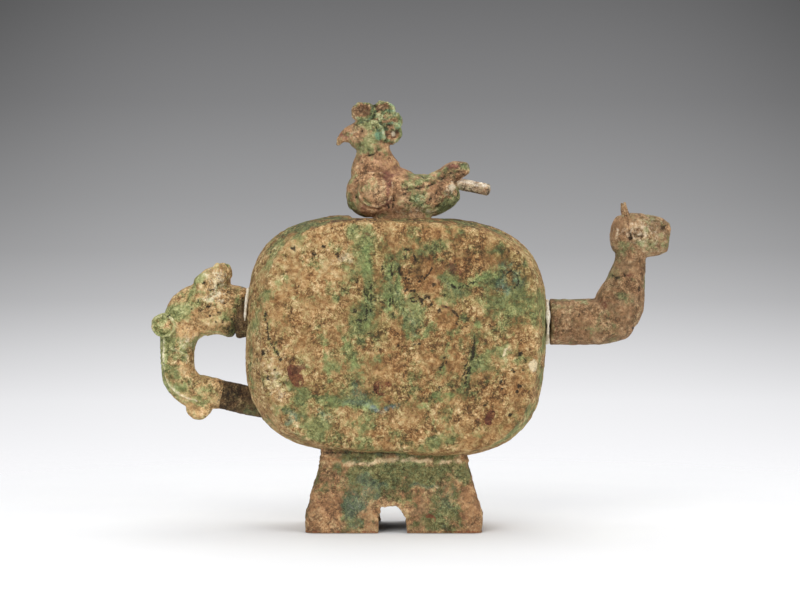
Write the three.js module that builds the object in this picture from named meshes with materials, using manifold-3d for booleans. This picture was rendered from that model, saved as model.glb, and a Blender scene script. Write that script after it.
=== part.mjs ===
// A flat spouted wine vessel of cast bronze: a drum-shaped body on a flared hollow foot, with a beast-headed
// spout on its right, a beast-shaped handle on its left and a removable lid in the form of a crested bird.
// Millimetres, +Z up. The vessel's broad faces look along -Y and +Y, the spout points along +X, and the
// floor is z = 0. X is measured from the body's middle while building, and the whole is centred at the end.
import * as THREE from "three";
import { mergeVertices } from "three/addons/utils/BufferGeometryUtils.js";
import Module from "manifold-3d";

const wasm = await Module();
wasm.setup();

// Body: an upright drum with bulging sides, a little askew on its foot.
const BODY_WIDTH = 120.6;
const BODY_HEIGHT = 96.8;
const BODY_DEPTH = 44;
const BODY_WALL = 2.4;
const BODY_CORNER = 3.26; // superellipse exponent of the outline
const BODY_LEAN = THREE.MathUtils.degToRad(2.3); // the handle's side stands higher
const BULGE_SIDES = 5.4; // the faces are this much smaller than the waist at each side
const BULGE_TOP = 2.7; // and this much at the top and bottom
const FACE_SHIFT = 1.4; // the faces sit a little towards the spout
const FACE_EDGE_RADIUS = 2;

// Foot: a flared hollow box with a small arch in its front and its back wall.
const FOOT_HEIGHT = 28.3; // floor to the body's lowest line
const FOOT_TOP_WIDTH = 58.4;
const FOOT_TOP_DEPTH = 31;
const FOOT_FLARE = 5.6; // each side spreads this far between its top and its base band
const FOOT_BAND_HEIGHT = 7.4;
const FOOT_WALL = 3.2;
const FOOT_CORNER_RADIUS = 4;
const FOOT_OFFSET = -0.8; // the foot stands this far off the body's middle
const ARCH_WIDTH = 11;
const ARCH_HEIGHT = 10.4;
const ARCH_OFFSET = -1;

// Mouth in the top of the band, in a flat land that carries the lid.
const MOUTH_WIDTH = 24;
const MOUTH_DEPTH = 15;
const MOUTH_CORNER_RADIUS = 3;
const MOUTH_OFFSET = 2.6; // the mouth sits a little towards the spout
const COLLAR_WIDTH = 2.6; // thickening round the mouth, inside the body
const COLLAR_DEPTH = 5;
const LAND_CUT = 1.6; // how far the land lies below the top of the waist
const LAND_LEFT = -18;
const LAND_RIGHT = 40;

// Spout: a bent tube ending in a beast's head, with a spigot through the body's wall.
const SPOUT_HEIGHT = 5.4; // root axis above the body's middle
const SPOUT_ROOT_RADIUS = 9.2;
const SPOUT_BORE_RADIUS = 5.8;
const SPOUT_MOUTH_RADIUS = 3.7;
const SPOUT_SPIGOT_RADIUS = 7.4;
const SPOUT_REACH = 33.5; // body's wall to the middle of the neck
const SPOUT_NECK_RISE = 23.4; // root axis to the neck's narrowest place
const SPOUT_NECK_RADIUS = 7.1;
const BEAST_HEAD_LENGTH = 23.6;
const BEAST_HEAD_HEIGHT = 18;
const BEAST_HEAD_WIDTH = 16;
const EAR_HEIGHT = 5;

// Handle: a beast whose jaws bite the upper tenon and whose tail holds the lower one.
const HANDLE_REACH = 36.8; // from the body's wall to the outermost curl
const HANDLE_DEPTH = 12.6;
const HANDLE_STRAP = 13.6; // thickness of the grip, seen from the front
const HANDLE_HEAD_DEPTH = 17;
const JAW_HEIGHT = 20.2;
const CURL_RADIUS = 4.9;
const CURL_DEPTH = 15.2;
const LUG_RADIUS = 5;
const TAIL_LENGTH = 11; // bare lower tenon between the wall and the tail
const UPPER_TENON_RISE = 9.2; // above the body's middle
const UPPER_COLLAR_HEIGHT = 21.4;
const UPPER_COLLAR_DEPTH = 15;
const UPPER_COLLAR_LENGTH = 2.4;
const UPPER_TONGUE_HEIGHT = 13;
const UPPER_TONGUE_DEPTH = 9.6;
const UPPER_TONGUE_IN_JAW = 9;
const LOWER_TENON_DROP = 25.8; // below the body's middle, where it enters the wall
const LOWER_TENON_HEIGHT = 11.4;
const LOWER_TENON_DEPTH = 8;
const LOWER_TENON_IN_TAIL = 4;
const LOWER_TENON_SLOPE = THREE.MathUtils.degToRad(12);
const CORE_RADIUS = 3.4; // the clay core left in the grip

// Pale repair filler between the wall and what was joined to it.
const FILL_THICKNESS = 1.2;

// Lid: a crested bird, hollow below, with a spigot in the mouth.
const BIRD_LENGTH = 49; // breast to the root of the tail peg
const BIRD_HEIGHT = 18.2; // base to the top of the back
const BIRD_WIDTH = 21.6;
const BIRD_HEAD_RADIUS = 7.2;
const BIRD_NECK_RISE = 26.6; // base to the narrowest part of the neck
const BIRD_HEAD_RISE = 34; // base to the middle of the head
const BEAK_LENGTH = 6.4;
const CREST_LOBE_RADIUS = 3.3;
const CREST_LOBES = 4;
const CREST_RISE = 10; // head's middle to the middle of a lobe above it
const CREST_BACK = 8.3; // and to one behind it
const CREST_DEPTH = 5.2;
const WING_RING_RADIUS = 6.4;
const WING_RING_WIRE = 0.75;
const LID_SPIGOT_DEPTH = 6.5;
const LID_SPIGOT_WALL = 2;
const LID_CAVITY_HEIGHT = 7;
const PEG_RADIUS = 2.4;
const PEG_LENGTH = 15.4;
const PEG_IN_TAIL = 6.6; // how much of the peg the tail holds
const PEG_SLOPE = 11; // degrees down, away from the tail

// Casting spacers, small bronze plates as thick as the wall and set flush in it.
const SPACER_SIZE = 6;

// Clearances.
const JOINT_GAP = 0.3; // between any two pieces that are held together
const LID_CLEARANCE = 0.6; // around the lid's spigot in the mouth

// Heights and places that follow from the sizes above.
const BODY_MIDDLE = FOOT_HEIGHT + BODY_HEIGHT / 2;
const SEAT_TOP = FOOT_HEIGHT + BODY_HEIGHT - LAND_CUT;
const LID_BASE = SEAT_TOP + JOINT_GAP;
const WALL_RIGHT = BODY_WIDTH / 2;
const WALL_LEFT = -BODY_WIDTH / 2;
const SPOUT_AXIS = BODY_MIDDLE + SPOUT_HEIGHT;
const SPOUT_ROOT = WALL_RIGHT + FILL_THICKNESS;
const COLLAR_INNER = WALL_LEFT - FILL_THICKNESS; // the upper tenon's collar, on the wall's side
const COLLAR_OUTER = COLLAR_INNER - UPPER_COLLAR_LENGTH;
const JAW_END = COLLAR_OUTER - JOINT_GAP;
const UPPER_TENON_AXIS = BODY_MIDDLE + UPPER_TENON_RISE;
const LOWER_TENON_AXIS = BODY_MIDDLE - LOWER_TENON_DROP;
const TAIL_END = WALL_LEFT - TAIL_LENGTH;
const tailLine = (x) => LOWER_TENON_AXIS + (WALL_LEFT - x) * Math.tan(LOWER_TENON_SLOPE);

const BRONZE = { color: 0x9c7f4c, roughness: 0.85, metalness: 0.15 };
const GREEN_BRONZE = { color: 0x7f8753, roughness: 0.85, metalness: 0.15 };
const BROWN_BRONZE = { color: 0x7a5a3c, roughness: 0.8, metalness: 0.2 };
const DARK_BRONZE = { color: 0x4a3a2a, roughness: 0.75, metalness: 0.25 };
const FILLER = { color: 0xe4dccb, roughness: 0.9, metalness: 0 };
const CLAY = { color: 0x8a6b4c, roughness: 1, metalness: 0 };

const vec = (x, y, z) => new THREE.Vector3(x, y, z);

// A closed geometry becomes an exact solid, turned the right way out.
function solid(geometry) {
  const bare = geometry.index ? geometry.toNonIndexed() : geometry.clone();
  for (const name of Object.keys(bare.attributes)) if (name !== "position") bare.deleteAttribute(name);
  const merged = mergeVertices(bare, 1e-4);
  const vertProperties = merged.attributes.position.array;
  const triVerts = new Uint32Array(merged.index.array);
  const made = new wasm.Manifold(new wasm.Mesh({ numProp: 3, vertProperties, triVerts }));
  if (made.volume() > 0) return made;
  triVerts.reverse();
  return new wasm.Manifold(new wasm.Mesh({ numProp: 3, vertProperties, triVerts }));
}

function named(name, manifold, look) {
  const { vertProperties, triVerts } = manifold.getMesh();
  const geometry = new THREE.BufferGeometry();
  geometry.setAttribute("position", new THREE.BufferAttribute(vertProperties, 3));
  geometry.setIndex(new THREE.BufferAttribute(triVerts, 1));
  geometry.computeVertexNormals();
  const mesh = new THREE.Mesh(geometry, new THREE.MeshStandardMaterial(look));
  mesh.name = name;
  return mesh;
}

const union = (...solids) => solids.reduce((all, one) => all.add(one));
const cut = (from, ...tools) => tools.reduce((left, tool) => left.subtract(tool), from);

// Joins rings of equally many points into one closed skin, with a fan over each end.
function loft(rings) {
  const count = rings[0].length;
  const points = rings.flat();
  const middle = (ring) => ring.reduce((sum, p) => sum.add(p), vec(0, 0, 0)).divideScalar(count);
  const first = points.push(middle(rings[0])) - 1;
  const last = points.push(middle(rings[rings.length - 1])) - 1;
  const faces = [];
  const start = (rings.length - 1) * count;
  for (let i = 0; i < count; i += 1) {
    const next = (i + 1) % count;
    for (let ring = 0; ring < start; ring += count) {
      faces.push(ring + i, ring + next, ring + count + i);
      faces.push(ring + next, ring + count + next, ring + count + i);
    }
    faces.push(first, next, i, last, start + i, start + next);
  }
  const geometry = new THREE.BufferGeometry().setFromPoints(points);
  geometry.setIndex(faces);
  return solid(geometry);
}

const power = (value, exponent) => Math.sign(value) * Math.abs(value) ** exponent;

// One ring of a limb that runs in the XZ plane: thick is its half size across the run, deep its half size
// along Y, and square the superellipse exponent of its section.
function limbRing({ x, z, thick, deep, turn, square, sides }) {
  return Array.from({ length: sides }, (_, i) => {
    const angle = (2 * Math.PI * i) / sides;
    const across = thick * power(Math.cos(angle), 2 / square);
    const aside = deep * power(Math.sin(angle), 2 / square);
    return vec(x - across * Math.sin(turn), aside, z + across * Math.cos(turn));
  });
}

// A limb through stations [x, z, thick, deep], smoothed, with each end either flat or domed.
function limb(stations, { steps = 14, sides = 18, square = 2.2, domeStart = 0, domeEnd = 0 } = {}) {
  const path = new THREE.CatmullRomCurve3(stations.map(([x, z]) => vec(x, 0, z)), false, "centripetal");
  const size = new THREE.CatmullRomCurve3(stations.map(([, , thick, deep]) => vec(thick, deep, 0)));
  const at = (share, shrink = 1, push = 0) => {
    const place = path.getPoint(share);
    const along = path.getTangent(share);
    const half = size.getPoint(share);
    const turn = Math.atan2(along.z, along.x);
    return limbRing({
      x: place.x + along.x * push,
      z: place.z + along.z * push,
      thick: half.x * shrink,
      deep: half.y * shrink,
      turn,
      square,
      sides,
    });
  };
  const rings = Array.from({ length: steps + 1 }, (_, i) => at(i / steps));
  const domeAngles = [0.35, 0.65, 0.92].map((share) => (share * Math.PI) / 2);
  for (const angle of domeAngles) {
    if (domeStart) rings.unshift(at(0, Math.cos(angle), -domeStart * Math.sin(angle)));
    if (domeEnd) rings.push(at(1, Math.cos(angle), domeEnd * Math.sin(angle)));
  }
  return loft(rings);
}

// A round bar along Y, centred on the plane y = 0.
function crossBar(x, z, radius, depth, sides = 24) {
  return solid(new THREE.CylinderGeometry(radius, radius, depth, sides)).translate([x, 0, z]);
}

const ball = (radius, sides = 16) => solid(new THREE.SphereGeometry(radius, sides, sides / 2));

// A flat rounded rectangle as a shape, centred on the origin.
function roundedRectangle(width, depth, radius) {
  const [x, y] = [width / 2, depth / 2];
  const shape = new THREE.Shape().moveTo(x - radius, -y);
  shape.absarc(x - radius, -y + radius, radius, -Math.PI / 2, 0);
  shape.absarc(x - radius, y - radius, radius, 0, Math.PI / 2);
  shape.absarc(-x + radius, y - radius, radius, Math.PI / 2, Math.PI);
  shape.absarc(-x + radius, -y + radius, radius, Math.PI, 1.5 * Math.PI);
  return shape;
}

const upright = (shape, bottom, top) =>
  solid(new THREE.ExtrudeGeometry(shape, { depth: top - bottom, bevelEnabled: false, curveSegments: 5 })).translate([
    0,
    0,
    bottom,
  ]);

// The body's skin, moved in by `inset` from the outer surface all over. Its outline is a superellipse in the XZ
// plane whose band bulges between the two flat faces.
function bodySkin(inset, { sides = 56, bandRings = 6, cornerRings = 3 } = {}) {
  const halfDepth = BODY_DEPTH / 2 - inset;
  const bandHalf = halfDepth - FACE_EDGE_RADIUS;
  const ring = (y, bulge, corner) =>
    Array.from({ length: sides }, (_, i) => {
      const angle = (2 * Math.PI * i) / sides;
      const halfWidth = BODY_WIDTH / 2 - inset - bulge * BULGE_SIDES - corner;
      const halfHeight = BODY_HEIGHT / 2 - inset - bulge * BULGE_TOP - corner;
      const across = Math.abs(Math.cos(angle) / halfWidth) ** BODY_CORNER;
      const high = Math.abs(Math.sin(angle) / halfHeight) ** BODY_CORNER;
      const radius = (across + high) ** (-1 / BODY_CORNER);
      const point = vec(radius * Math.cos(angle) + bulge * FACE_SHIFT, y, radius * Math.sin(angle));
      return point.applyAxisAngle(vec(0, 1, 0), BODY_LEAN).add(vec(0, 0, BODY_MIDDLE));
    });
  const edge = (i) => {
    const angle = (i / cornerRings) * (Math.PI / 2);
    const side = Math.sign(i);
    return ring(
      side * bandHalf + FACE_EDGE_RADIUS * Math.sin(angle),
      1,
      FACE_EDGE_RADIUS * (1 - Math.cos(angle)),
    );
  };
  const rings = [];
  for (let i = -cornerRings; i < 0; i += 1) rings.push(edge(i));
  for (let i = 0; i <= bandRings; i += 1) {
    const share = (2 * i) / bandRings - 1;
    rings.push(ring(bandHalf * share, share * share, 0));
  }
  for (let i = 1; i <= cornerRings; i += 1) rings.push(edge(i));
  return loft(rings);
}

// A level or sloping bar in the XZ plane, from [x, z] to [x, z], of one oval section.
const bar = (from, to, height, depth, options) =>
  limb([from, to].map(([x, z]) => [x, z, height / 2, depth / 2]), { steps: 1, sides: 20, ...options });

// The upper tenon: a collar between filler and jaws, and a tongue through wall and jaws.
const TONGUE_START = JAW_END - UPPER_TONGUE_IN_JAW;
function upperTongue(grow = 0) {
  const [start, end] = [TONGUE_START - grow, WALL_LEFT + 2 * BODY_WALL];
  const height = UPPER_TONGUE_HEIGHT + 2 * grow;
  const depth = UPPER_TONGUE_DEPTH + 2 * grow;
  return bar([start, UPPER_TENON_AXIS], [end, UPPER_TENON_AXIS], height, depth, { square: 2.4 });
}

function upperTenon() {
  const ends = [COLLAR_OUTER, COLLAR_INNER].map((x) => [x, UPPER_TENON_AXIS]);
  const collar = bar(...ends, UPPER_COLLAR_HEIGHT, UPPER_COLLAR_DEPTH, { square: 2.4, sides: 28 });
  return cut(union(collar, upperTongue()), bodySkin(BODY_WALL));
}

// The lower tenon slopes down towards the body.
function lowerTenonBar(grow = 0) {
  const ends = [TAIL_END - LOWER_TENON_IN_TAIL - grow, WALL_LEFT + 4 * BODY_WALL].map((x) => [x, tailLine(x)]);
  return bar(...ends, LOWER_TENON_HEIGHT + 2 * grow, LOWER_TENON_DEPTH + 2 * grow, { square: 2.8 });
}

const lowerTenon = () => cut(lowerTenonBar(), bodySkin(BODY_WALL));

// The spout's spigot is a round bar through the wall, from inside the body to inside the spout's own root.
function spoutSpigot(grow = 0) {
  const radius = SPOUT_SPIGOT_RADIUS + grow;
  const [start, end] = [WALL_RIGHT - 2 * BODY_WALL, SPOUT_ROOT + BODY_WALL];
  const pin = new THREE.CylinderGeometry(radius, radius, end - start, 32).rotateZ(Math.PI / 2);
  return solid(pin.translate((start + end) / 2, 0, SPOUT_AXIS));
}

// Where the spacers sit, in shares of the body's half width and half height from its middle: face -1 is the
// front face and 1 the back one.
const SPACERS = [
  { name: "front_spacer_left", face: -1, along: -0.648, up: -0.31 },
  { name: "front_spacer_middle", face: -1, along: -0.085, up: -0.41 },
  { name: "front_spacer_right", face: -1, along: 0.61, up: -0.645 },
  { name: "back_spacer_left", face: 1, along: -0.648, up: -0.31 },
  { name: "back_spacer_middle", face: 1, along: -0.085, up: -0.41 },
  { name: "back_spacer_right", face: 1, along: 0.61, up: -0.645 },
];

// A spacer is a square plate as thick as the wall; grown, it is the hole for it.
function spacer({ face, along, up }, grow = 0) {
  const plate = new THREE.BoxGeometry(SPACER_SIZE + 2 * grow, BODY_WALL + 4 * grow, SPACER_SIZE + 2 * grow);
  const [x, z] = [(along * BODY_WIDTH) / 2, BODY_MIDDLE + (up * BODY_HEIGHT) / 2];
  return solid(plate).translate([x, (face * (BODY_DEPTH - BODY_WALL)) / 2, z]);
}

const mouthShape = (grow) =>
  roundedRectangle(MOUTH_WIDTH + 2 * grow, MOUTH_DEPTH + 2 * grow, MOUTH_CORNER_RADIUS + grow);

function vesselBody() {
  const collar = upright(mouthShape(COLLAR_WIDTH), SEAT_TOP - COLLAR_DEPTH, SEAT_TOP + 1);
  const mouth = upright(mouthShape(0), BODY_MIDDLE, SEAT_TOP + BODY_WALL);
  const landWidth = LAND_RIGHT - LAND_LEFT;
  const land = new THREE.BoxGeometry(landWidth, BODY_DEPTH, 2 * BODY_WALL);
  const shell = cut(bodySkin(0), bodySkin(BODY_WALL, { bandRings: 4, cornerRings: 1 }));
  return cut(
    union(shell, collar.translate([MOUTH_OFFSET, 0, 0])),
    mouth.translate([MOUTH_OFFSET, 0, 0]),
    solid(land.translate(LAND_LEFT + landWidth / 2, 0, SEAT_TOP + BODY_WALL)),
    spoutSpigot(JOINT_GAP),
    upperTongue(JOINT_GAP),
    lowerTenonBar(JOINT_GAP),
    ...SPACERS.map((place) => spacer(place, JOINT_GAP)),
  );
}

// A flared box with rounded corners: a straight base band, and above it walls that sweep in to the top.
function flaredBox(inset, levels) {
  const level = (z) => {
    const share = Math.min(1, Math.max(0, (FOOT_HEIGHT - z) / (FOOT_HEIGHT - FOOT_BAND_HEIGHT)));
    const spread = FOOT_FLARE * share ** 1.25;
    const width = FOOT_TOP_WIDTH + 2 * (spread - inset);
    const depth = FOOT_TOP_DEPTH + 2 * (spread - inset);
    const outline = roundedRectangle(width, depth, FOOT_CORNER_RADIUS).getPoints(4);
    return outline.slice(0, -1).map((p) => vec(p.x + FOOT_OFFSET, p.y, z));
  };
  return loft(levels.map(level));
}

function footArch() {
  const half = ARCH_WIDTH / 2;
  const shoulder = ARCH_HEIGHT * 0.62;
  const crown = ARCH_WIDTH * 0.32;
  const shape = new THREE.Shape().moveTo(-half, -FOOT_WALL).lineTo(half, -FOOT_WALL).lineTo(half, shoulder);
  shape.quadraticCurveTo(crown, shoulder, crown, ARCH_HEIGHT - 1);
  shape.quadraticCurveTo(crown, ARCH_HEIGHT, 0, ARCH_HEIGHT);
  shape.quadraticCurveTo(-crown, ARCH_HEIGHT, -crown, ARCH_HEIGHT - 1);
  shape.quadraticCurveTo(-crown, shoulder, -half, shoulder);
  const depth = FOOT_TOP_DEPTH + 2 * FOOT_FLARE + 2 * FOOT_WALL;
  const geometry = new THREE.ExtrudeGeometry(shape, { depth, bevelEnabled: false, curveSegments: 4 });
  return solid(geometry.translate(FOOT_OFFSET + ARCH_OFFSET, 0, -depth / 2).rotateX(Math.PI / 2));
}

function footRing() {
  const top = FOOT_HEIGHT + BULGE_TOP + 2 * FACE_EDGE_RADIUS;
  const slope = [0, 0.25, 0.5, 0.75, 1].map((share) => FOOT_BAND_HEIGHT + share * (FOOT_HEIGHT - FOOT_BAND_HEIGHT));
  const outside = flaredBox(0, [0, ...slope, top]);
  const inside = flaredBox(FOOT_WALL, [-FOOT_WALL, ...slope, top + FOOT_WALL]);
  return cut(outside, inside, footArch(), bodySkin(-JOINT_GAP));
}

// The spout's centre line, from its root up to the neck: [x, z, half size in the plane, half size across it].
const NECK_X = WALL_RIGHT + SPOUT_REACH;
const BEND_X = WALL_RIGHT + 0.7 * SPOUT_REACH;
const NECK_TOP = SPOUT_AXIS + SPOUT_NECK_RISE;
const HEAD_AXIS = NECK_TOP + 0.62 * BEAST_HEAD_HEIGHT;
const HEAD_BACK = NECK_X - 0.348 * BEAST_HEAD_LENGTH;
const MUZZLE = HEAD_BACK + BEAST_HEAD_LENGTH;
const spoutRun = (root, neck) => [
  [SPOUT_ROOT, SPOUT_AXIS, root, root],
  [SPOUT_ROOT + 0.3 * SPOUT_REACH, SPOUT_AXIS, root, root],
  [BEND_X, SPOUT_AXIS + 0.08 * SPOUT_NECK_RISE, root * 1.1, root],
  [BEND_X + 0.2 * SPOUT_REACH, SPOUT_AXIS + 0.33 * SPOUT_NECK_RISE, root * 1.13, root * 0.96],
  [NECK_X - 0.054 * SPOUT_REACH, SPOUT_AXIS + 0.62 * SPOUT_NECK_RISE, root * 0.5 + neck * 0.55, (root + neck) / 2],
  [NECK_X - 0.03 * SPOUT_REACH, SPOUT_AXIS + 0.84 * SPOUT_NECK_RISE, neck * 1.02, neck],
  [NECK_X, NECK_TOP, neck, neck],
];

function beastHead() {
  const half = BEAST_HEAD_HEIGHT / 2;
  const deep = BEAST_HEAD_WIDTH / 2;
  const skull = limb(
    [
      [HEAD_BACK + 0.127 * BEAST_HEAD_LENGTH, HEAD_AXIS + 0.4, half * 0.84, deep * 0.84],
      [HEAD_BACK + 0.34 * BEAST_HEAD_LENGTH, HEAD_AXIS, half, deep],
      [HEAD_BACK + 0.636 * BEAST_HEAD_LENGTH, HEAD_AXIS - 0.2, half * 0.96, deep * 0.92],
      [HEAD_BACK + 0.847 * BEAST_HEAD_LENGTH, HEAD_AXIS - 0.6, half * 0.86, deep * 0.78],
      [MUZZLE, HEAD_AXIS - 0.7, half * 0.74, deep * 0.68],
    ],
    { steps: 8, sides: 20, square: 2.6, domeStart: 3 },
  );
  const parts = [skull];
  for (const side of [-1, 1]) {
    const ear = solid(new THREE.ConeGeometry(2.4, EAR_HEIGHT + 5, 8).scale(0.9, 1, 0.9).rotateX(Math.PI / 2));
    const nostril = ball(1.9, 10).translate([MUZZLE - 2.4, side * deep * 0.42, HEAD_AXIS + half * 0.44]);
    parts.push(
      ear
        .rotate([side * 12, 0, 0])
        .translate([HEAD_BACK + 0.297 * BEAST_HEAD_LENGTH, side * deep * 0.6, HEAD_AXIS + half * 0.96]),
      ball(2.7, 12).translate([HEAD_BACK + 0.534 * BEAST_HEAD_LENGTH, side * deep * 0.72, HEAD_AXIS + half * 0.2]),
      nostril,
    );
  }
  return union(...parts);
}

function spout() {
  const tube = limb(spoutRun(SPOUT_ROOT_RADIUS, SPOUT_NECK_RADIUS), { steps: 16, sides: 24, domeEnd: 5 });
  const start = WALL_RIGHT - 4 * BODY_WALL;
  const narrow = SPOUT_BORE_RADIUS * 0.85;
  const bore = limb(
    [
      [start, SPOUT_AXIS, SPOUT_BORE_RADIUS, SPOUT_BORE_RADIUS],
      ...spoutRun(SPOUT_BORE_RADIUS, narrow),
      [NECK_X + 1, HEAD_AXIS - 2, narrow * 0.98, narrow * 0.98],
    ],
    { steps: 18, sides: 18, domeEnd: 4 },
  );
  const ends = [NECK_X, MUZZLE + 1].map((x) => [x, HEAD_AXIS - 0.7]);
  const throat = bar(...ends, 2 * SPOUT_MOUTH_RADIUS, 2 * SPOUT_MOUTH_RADIUS, { square: 2.2 });
  const outside = union(tube, beastHead(), spoutSpigot());
  return cut(outside, bore, throat, bodySkin(BODY_WALL));
}

// A ring of filler fills the gap at a joint: a bar of the joint's outline, less what goes through it and the wall.
function spoutSeamFill() {
  const end = SPOUT_ROOT - JOINT_GAP;
  const size = 2 * SPOUT_ROOT_RADIUS - 0.6;
  const plug = bar([end - 3 * FILL_THICKNESS, SPOUT_AXIS], [end, SPOUT_AXIS], size, size, { sides: 32, square: 2 });
  return cut(plug, spoutSpigot(JOINT_GAP), bodySkin(-JOINT_GAP));
}

function handleSeamFill() {
  const start = COLLAR_INNER + JOINT_GAP;
  const ends = [start, start + 3 * FILL_THICKNESS].map((x) => [x, UPPER_TENON_AXIS]);
  const plug = bar(...ends, UPPER_COLLAR_HEIGHT - 0.6, UPPER_COLLAR_DEPTH - 0.6, { sides: 28, square: 2.4 });
  return cut(plug, upperTongue(JOINT_GAP), bodySkin(-JOINT_GAP));
}

// The handle's centre line from the jaws round to the tail, with its sizes as shares of the strap's.
const CURL_X = WALL_LEFT - HANDLE_REACH + CURL_RADIUS;
const TENON_SPACING = UPPER_TENON_AXIS - LOWER_TENON_AXIS;
const CURL_Z = UPPER_TENON_AXIS - 0.149 * TENON_SPACING;
const GRIP_X = WALL_LEFT - 0.739 * HANDLE_REACH;
const TAIL_BEND = TAIL_END - 0.125 * HANDLE_REACH;
const gripAt = (out, down) => ({ x: WALL_LEFT - out * HANDLE_REACH, z: UPPER_TENON_AXIS - down * TENON_SPACING });
const GRIP_RUN = [
  { ...gripAt(0.418, -0.034), thick: 1.58, deep: 1.16 },
  { ...gripAt(0.582, 0.029), thick: 1.54, deep: 1.06 },
  { ...gripAt(0.701, 0.2), thick: 1.24, deep: 1 },
  { ...gripAt(0.739, 0.4), thick: 1.05, deep: 1 },
  { ...gripAt(0.739, 0.583), thick: 1, deep: 1 },
  { ...gripAt(0.707, 0.754), thick: 1.02, deep: 0.96 },
  { ...gripAt(0.587, 0.886), thick: 1.02, deep: 0.92 },
  { x: TAIL_BEND, z: tailLine(TAIL_BEND), thick: 0.96, deep: 0.86 },
  { x: TAIL_END, z: tailLine(TAIL_END), thick: 0.97, deep: 0.84 },
];

// The hollow of the grip runs between the two tenon sockets.
function gripCavity(radius) {
  const start = [TONGUE_START + CORE_RADIUS, UPPER_TENON_AXIS];
  const run = [start, ...GRIP_RUN.map(({ x, z }) => [x, z])];
  return limb(
    run.map(([x, z]) => [x, z, radius, radius]),
    { steps: 16, sides: 12 },
  );
}

function handle() {
  const strap = HANDLE_STRAP / 2;
  const deep = HANDLE_DEPTH / 2;
  const jaw = JAW_HEIGHT / 2;
  const headDeep = HANDLE_HEAD_DEPTH / 2;
  const grip = limb(
    [
      [JAW_END, UPPER_TENON_AXIS + 1.2, jaw * 0.96, headDeep * 0.92],
      [JAW_END - 5, UPPER_TENON_AXIS + 1.2, jaw, headDeep],
      ...GRIP_RUN.map((at) => [at.x, at.z, strap * at.thick, deep * at.deep]),
    ],
    { steps: 22, sides: 20, square: 2.5 },
  );
  const brow = limb(
    [
      [WALL_LEFT - 0.462 * HANDLE_REACH, UPPER_TENON_AXIS + jaw, jaw * 0.5, headDeep * 0.78],
      [WALL_LEFT - 0.342 * HANDLE_REACH, UPPER_TENON_AXIS + jaw * 1.29, jaw * 0.515, headDeep * 0.84],
      [WALL_LEFT - 0.228 * HANDLE_REACH, UPPER_TENON_AXIS + jaw * 1.39, jaw * 0.455, headDeep * 0.78],
    ],
    { steps: 5, sides: 16, square: 2.3, domeStart: 3, domeEnd: 2.4 },
  );
  const lugX = TAIL_END - 1.48 * LUG_RADIUS;
  const lug = crossBar(lugX, tailLine(lugX) - 1.28 * LUG_RADIUS, LUG_RADIUS, HANDLE_DEPTH * 0.86);
  const parts = [grip, brow, crossBar(CURL_X, CURL_Z, CURL_RADIUS, CURL_DEPTH), lug];
  for (const side of [-1, 1]) {
    const ear = ball(3.8, 14).scale([1, 0.6, 1.1]);
    const earAt = [WALL_LEFT - 0.255 * HANDLE_REACH, side * headDeep * 0.72, UPPER_TENON_AXIS + jaw * 1.564];
    parts.push(ear.translate(earAt));
    const eye = [WALL_LEFT - 0.332 * HANDLE_REACH, side * headDeep * 0.86, UPPER_TENON_AXIS + jaw * 0.85];
    parts.push(ball(2.2, 10).translate(eye));
  }
  return cut(union(...parts), upperTongue(JOINT_GAP), lowerTenonBar(JOINT_GAP), gripCavity(CORE_RADIUS));
}

const clayCore = () =>
  cut(gripCavity(CORE_RADIUS - JOINT_GAP), upperTongue(JOINT_GAP), lowerTenonBar(JOINT_GAP));

// The bird, facing the handle: breast at BREAST_X, tail towards the spout.
const BREAST_X = MOUTH_OFFSET - 0.461 * BIRD_LENGTH;
const TAIL_X = BREAST_X + BIRD_LENGTH;
const NECK_BASE_X = BREAST_X + 0.237 * BIRD_LENGTH;
const HEAD_X = BREAST_X + 0.212 * BIRD_LENGTH;
const HEAD_Z = LID_BASE + BIRD_HEAD_RISE;

function birdTrunk() {
  const half = BIRD_HEIGHT / 2;
  const wide = BIRD_WIDTH / 2;
  const middle = LID_BASE + half;
  const trunk = limb(
    [
      [BREAST_X + 0.053 * BIRD_LENGTH, middle + 0.6, half * 0.74, wide * 0.62],
      [BREAST_X + 0.143 * BIRD_LENGTH, middle + 0.4, half * 1.02, wide * 0.92],
      [BREAST_X + 0.286 * BIRD_LENGTH, middle + 0.2, half * 1.06, wide],
      [BREAST_X + 0.531 * BIRD_LENGTH, middle - 0.2, half * 1.02, wide * 0.95],
      [BREAST_X + 0.735 * BIRD_LENGTH, middle + 0.2, half * 0.98, wide * 0.86],
      [BREAST_X + 0.878 * BIRD_LENGTH, middle + half * 0.29, half * 0.74, wide * 0.6],
      [TAIL_X - 2, middle + half * 0.48, half * 0.5, wide * 0.4],
    ],
    { steps: 14, sides: 24, square: 2.6, domeStart: 2.6, domeEnd: 1.4 },
  );
  const below = new THREE.BoxGeometry(2 * BIRD_LENGTH, 2 * BIRD_WIDTH, BIRD_HEIGHT);
  return trunk.subtract(solid(below.translate(0, 0, LID_BASE - half)));
}

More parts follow.
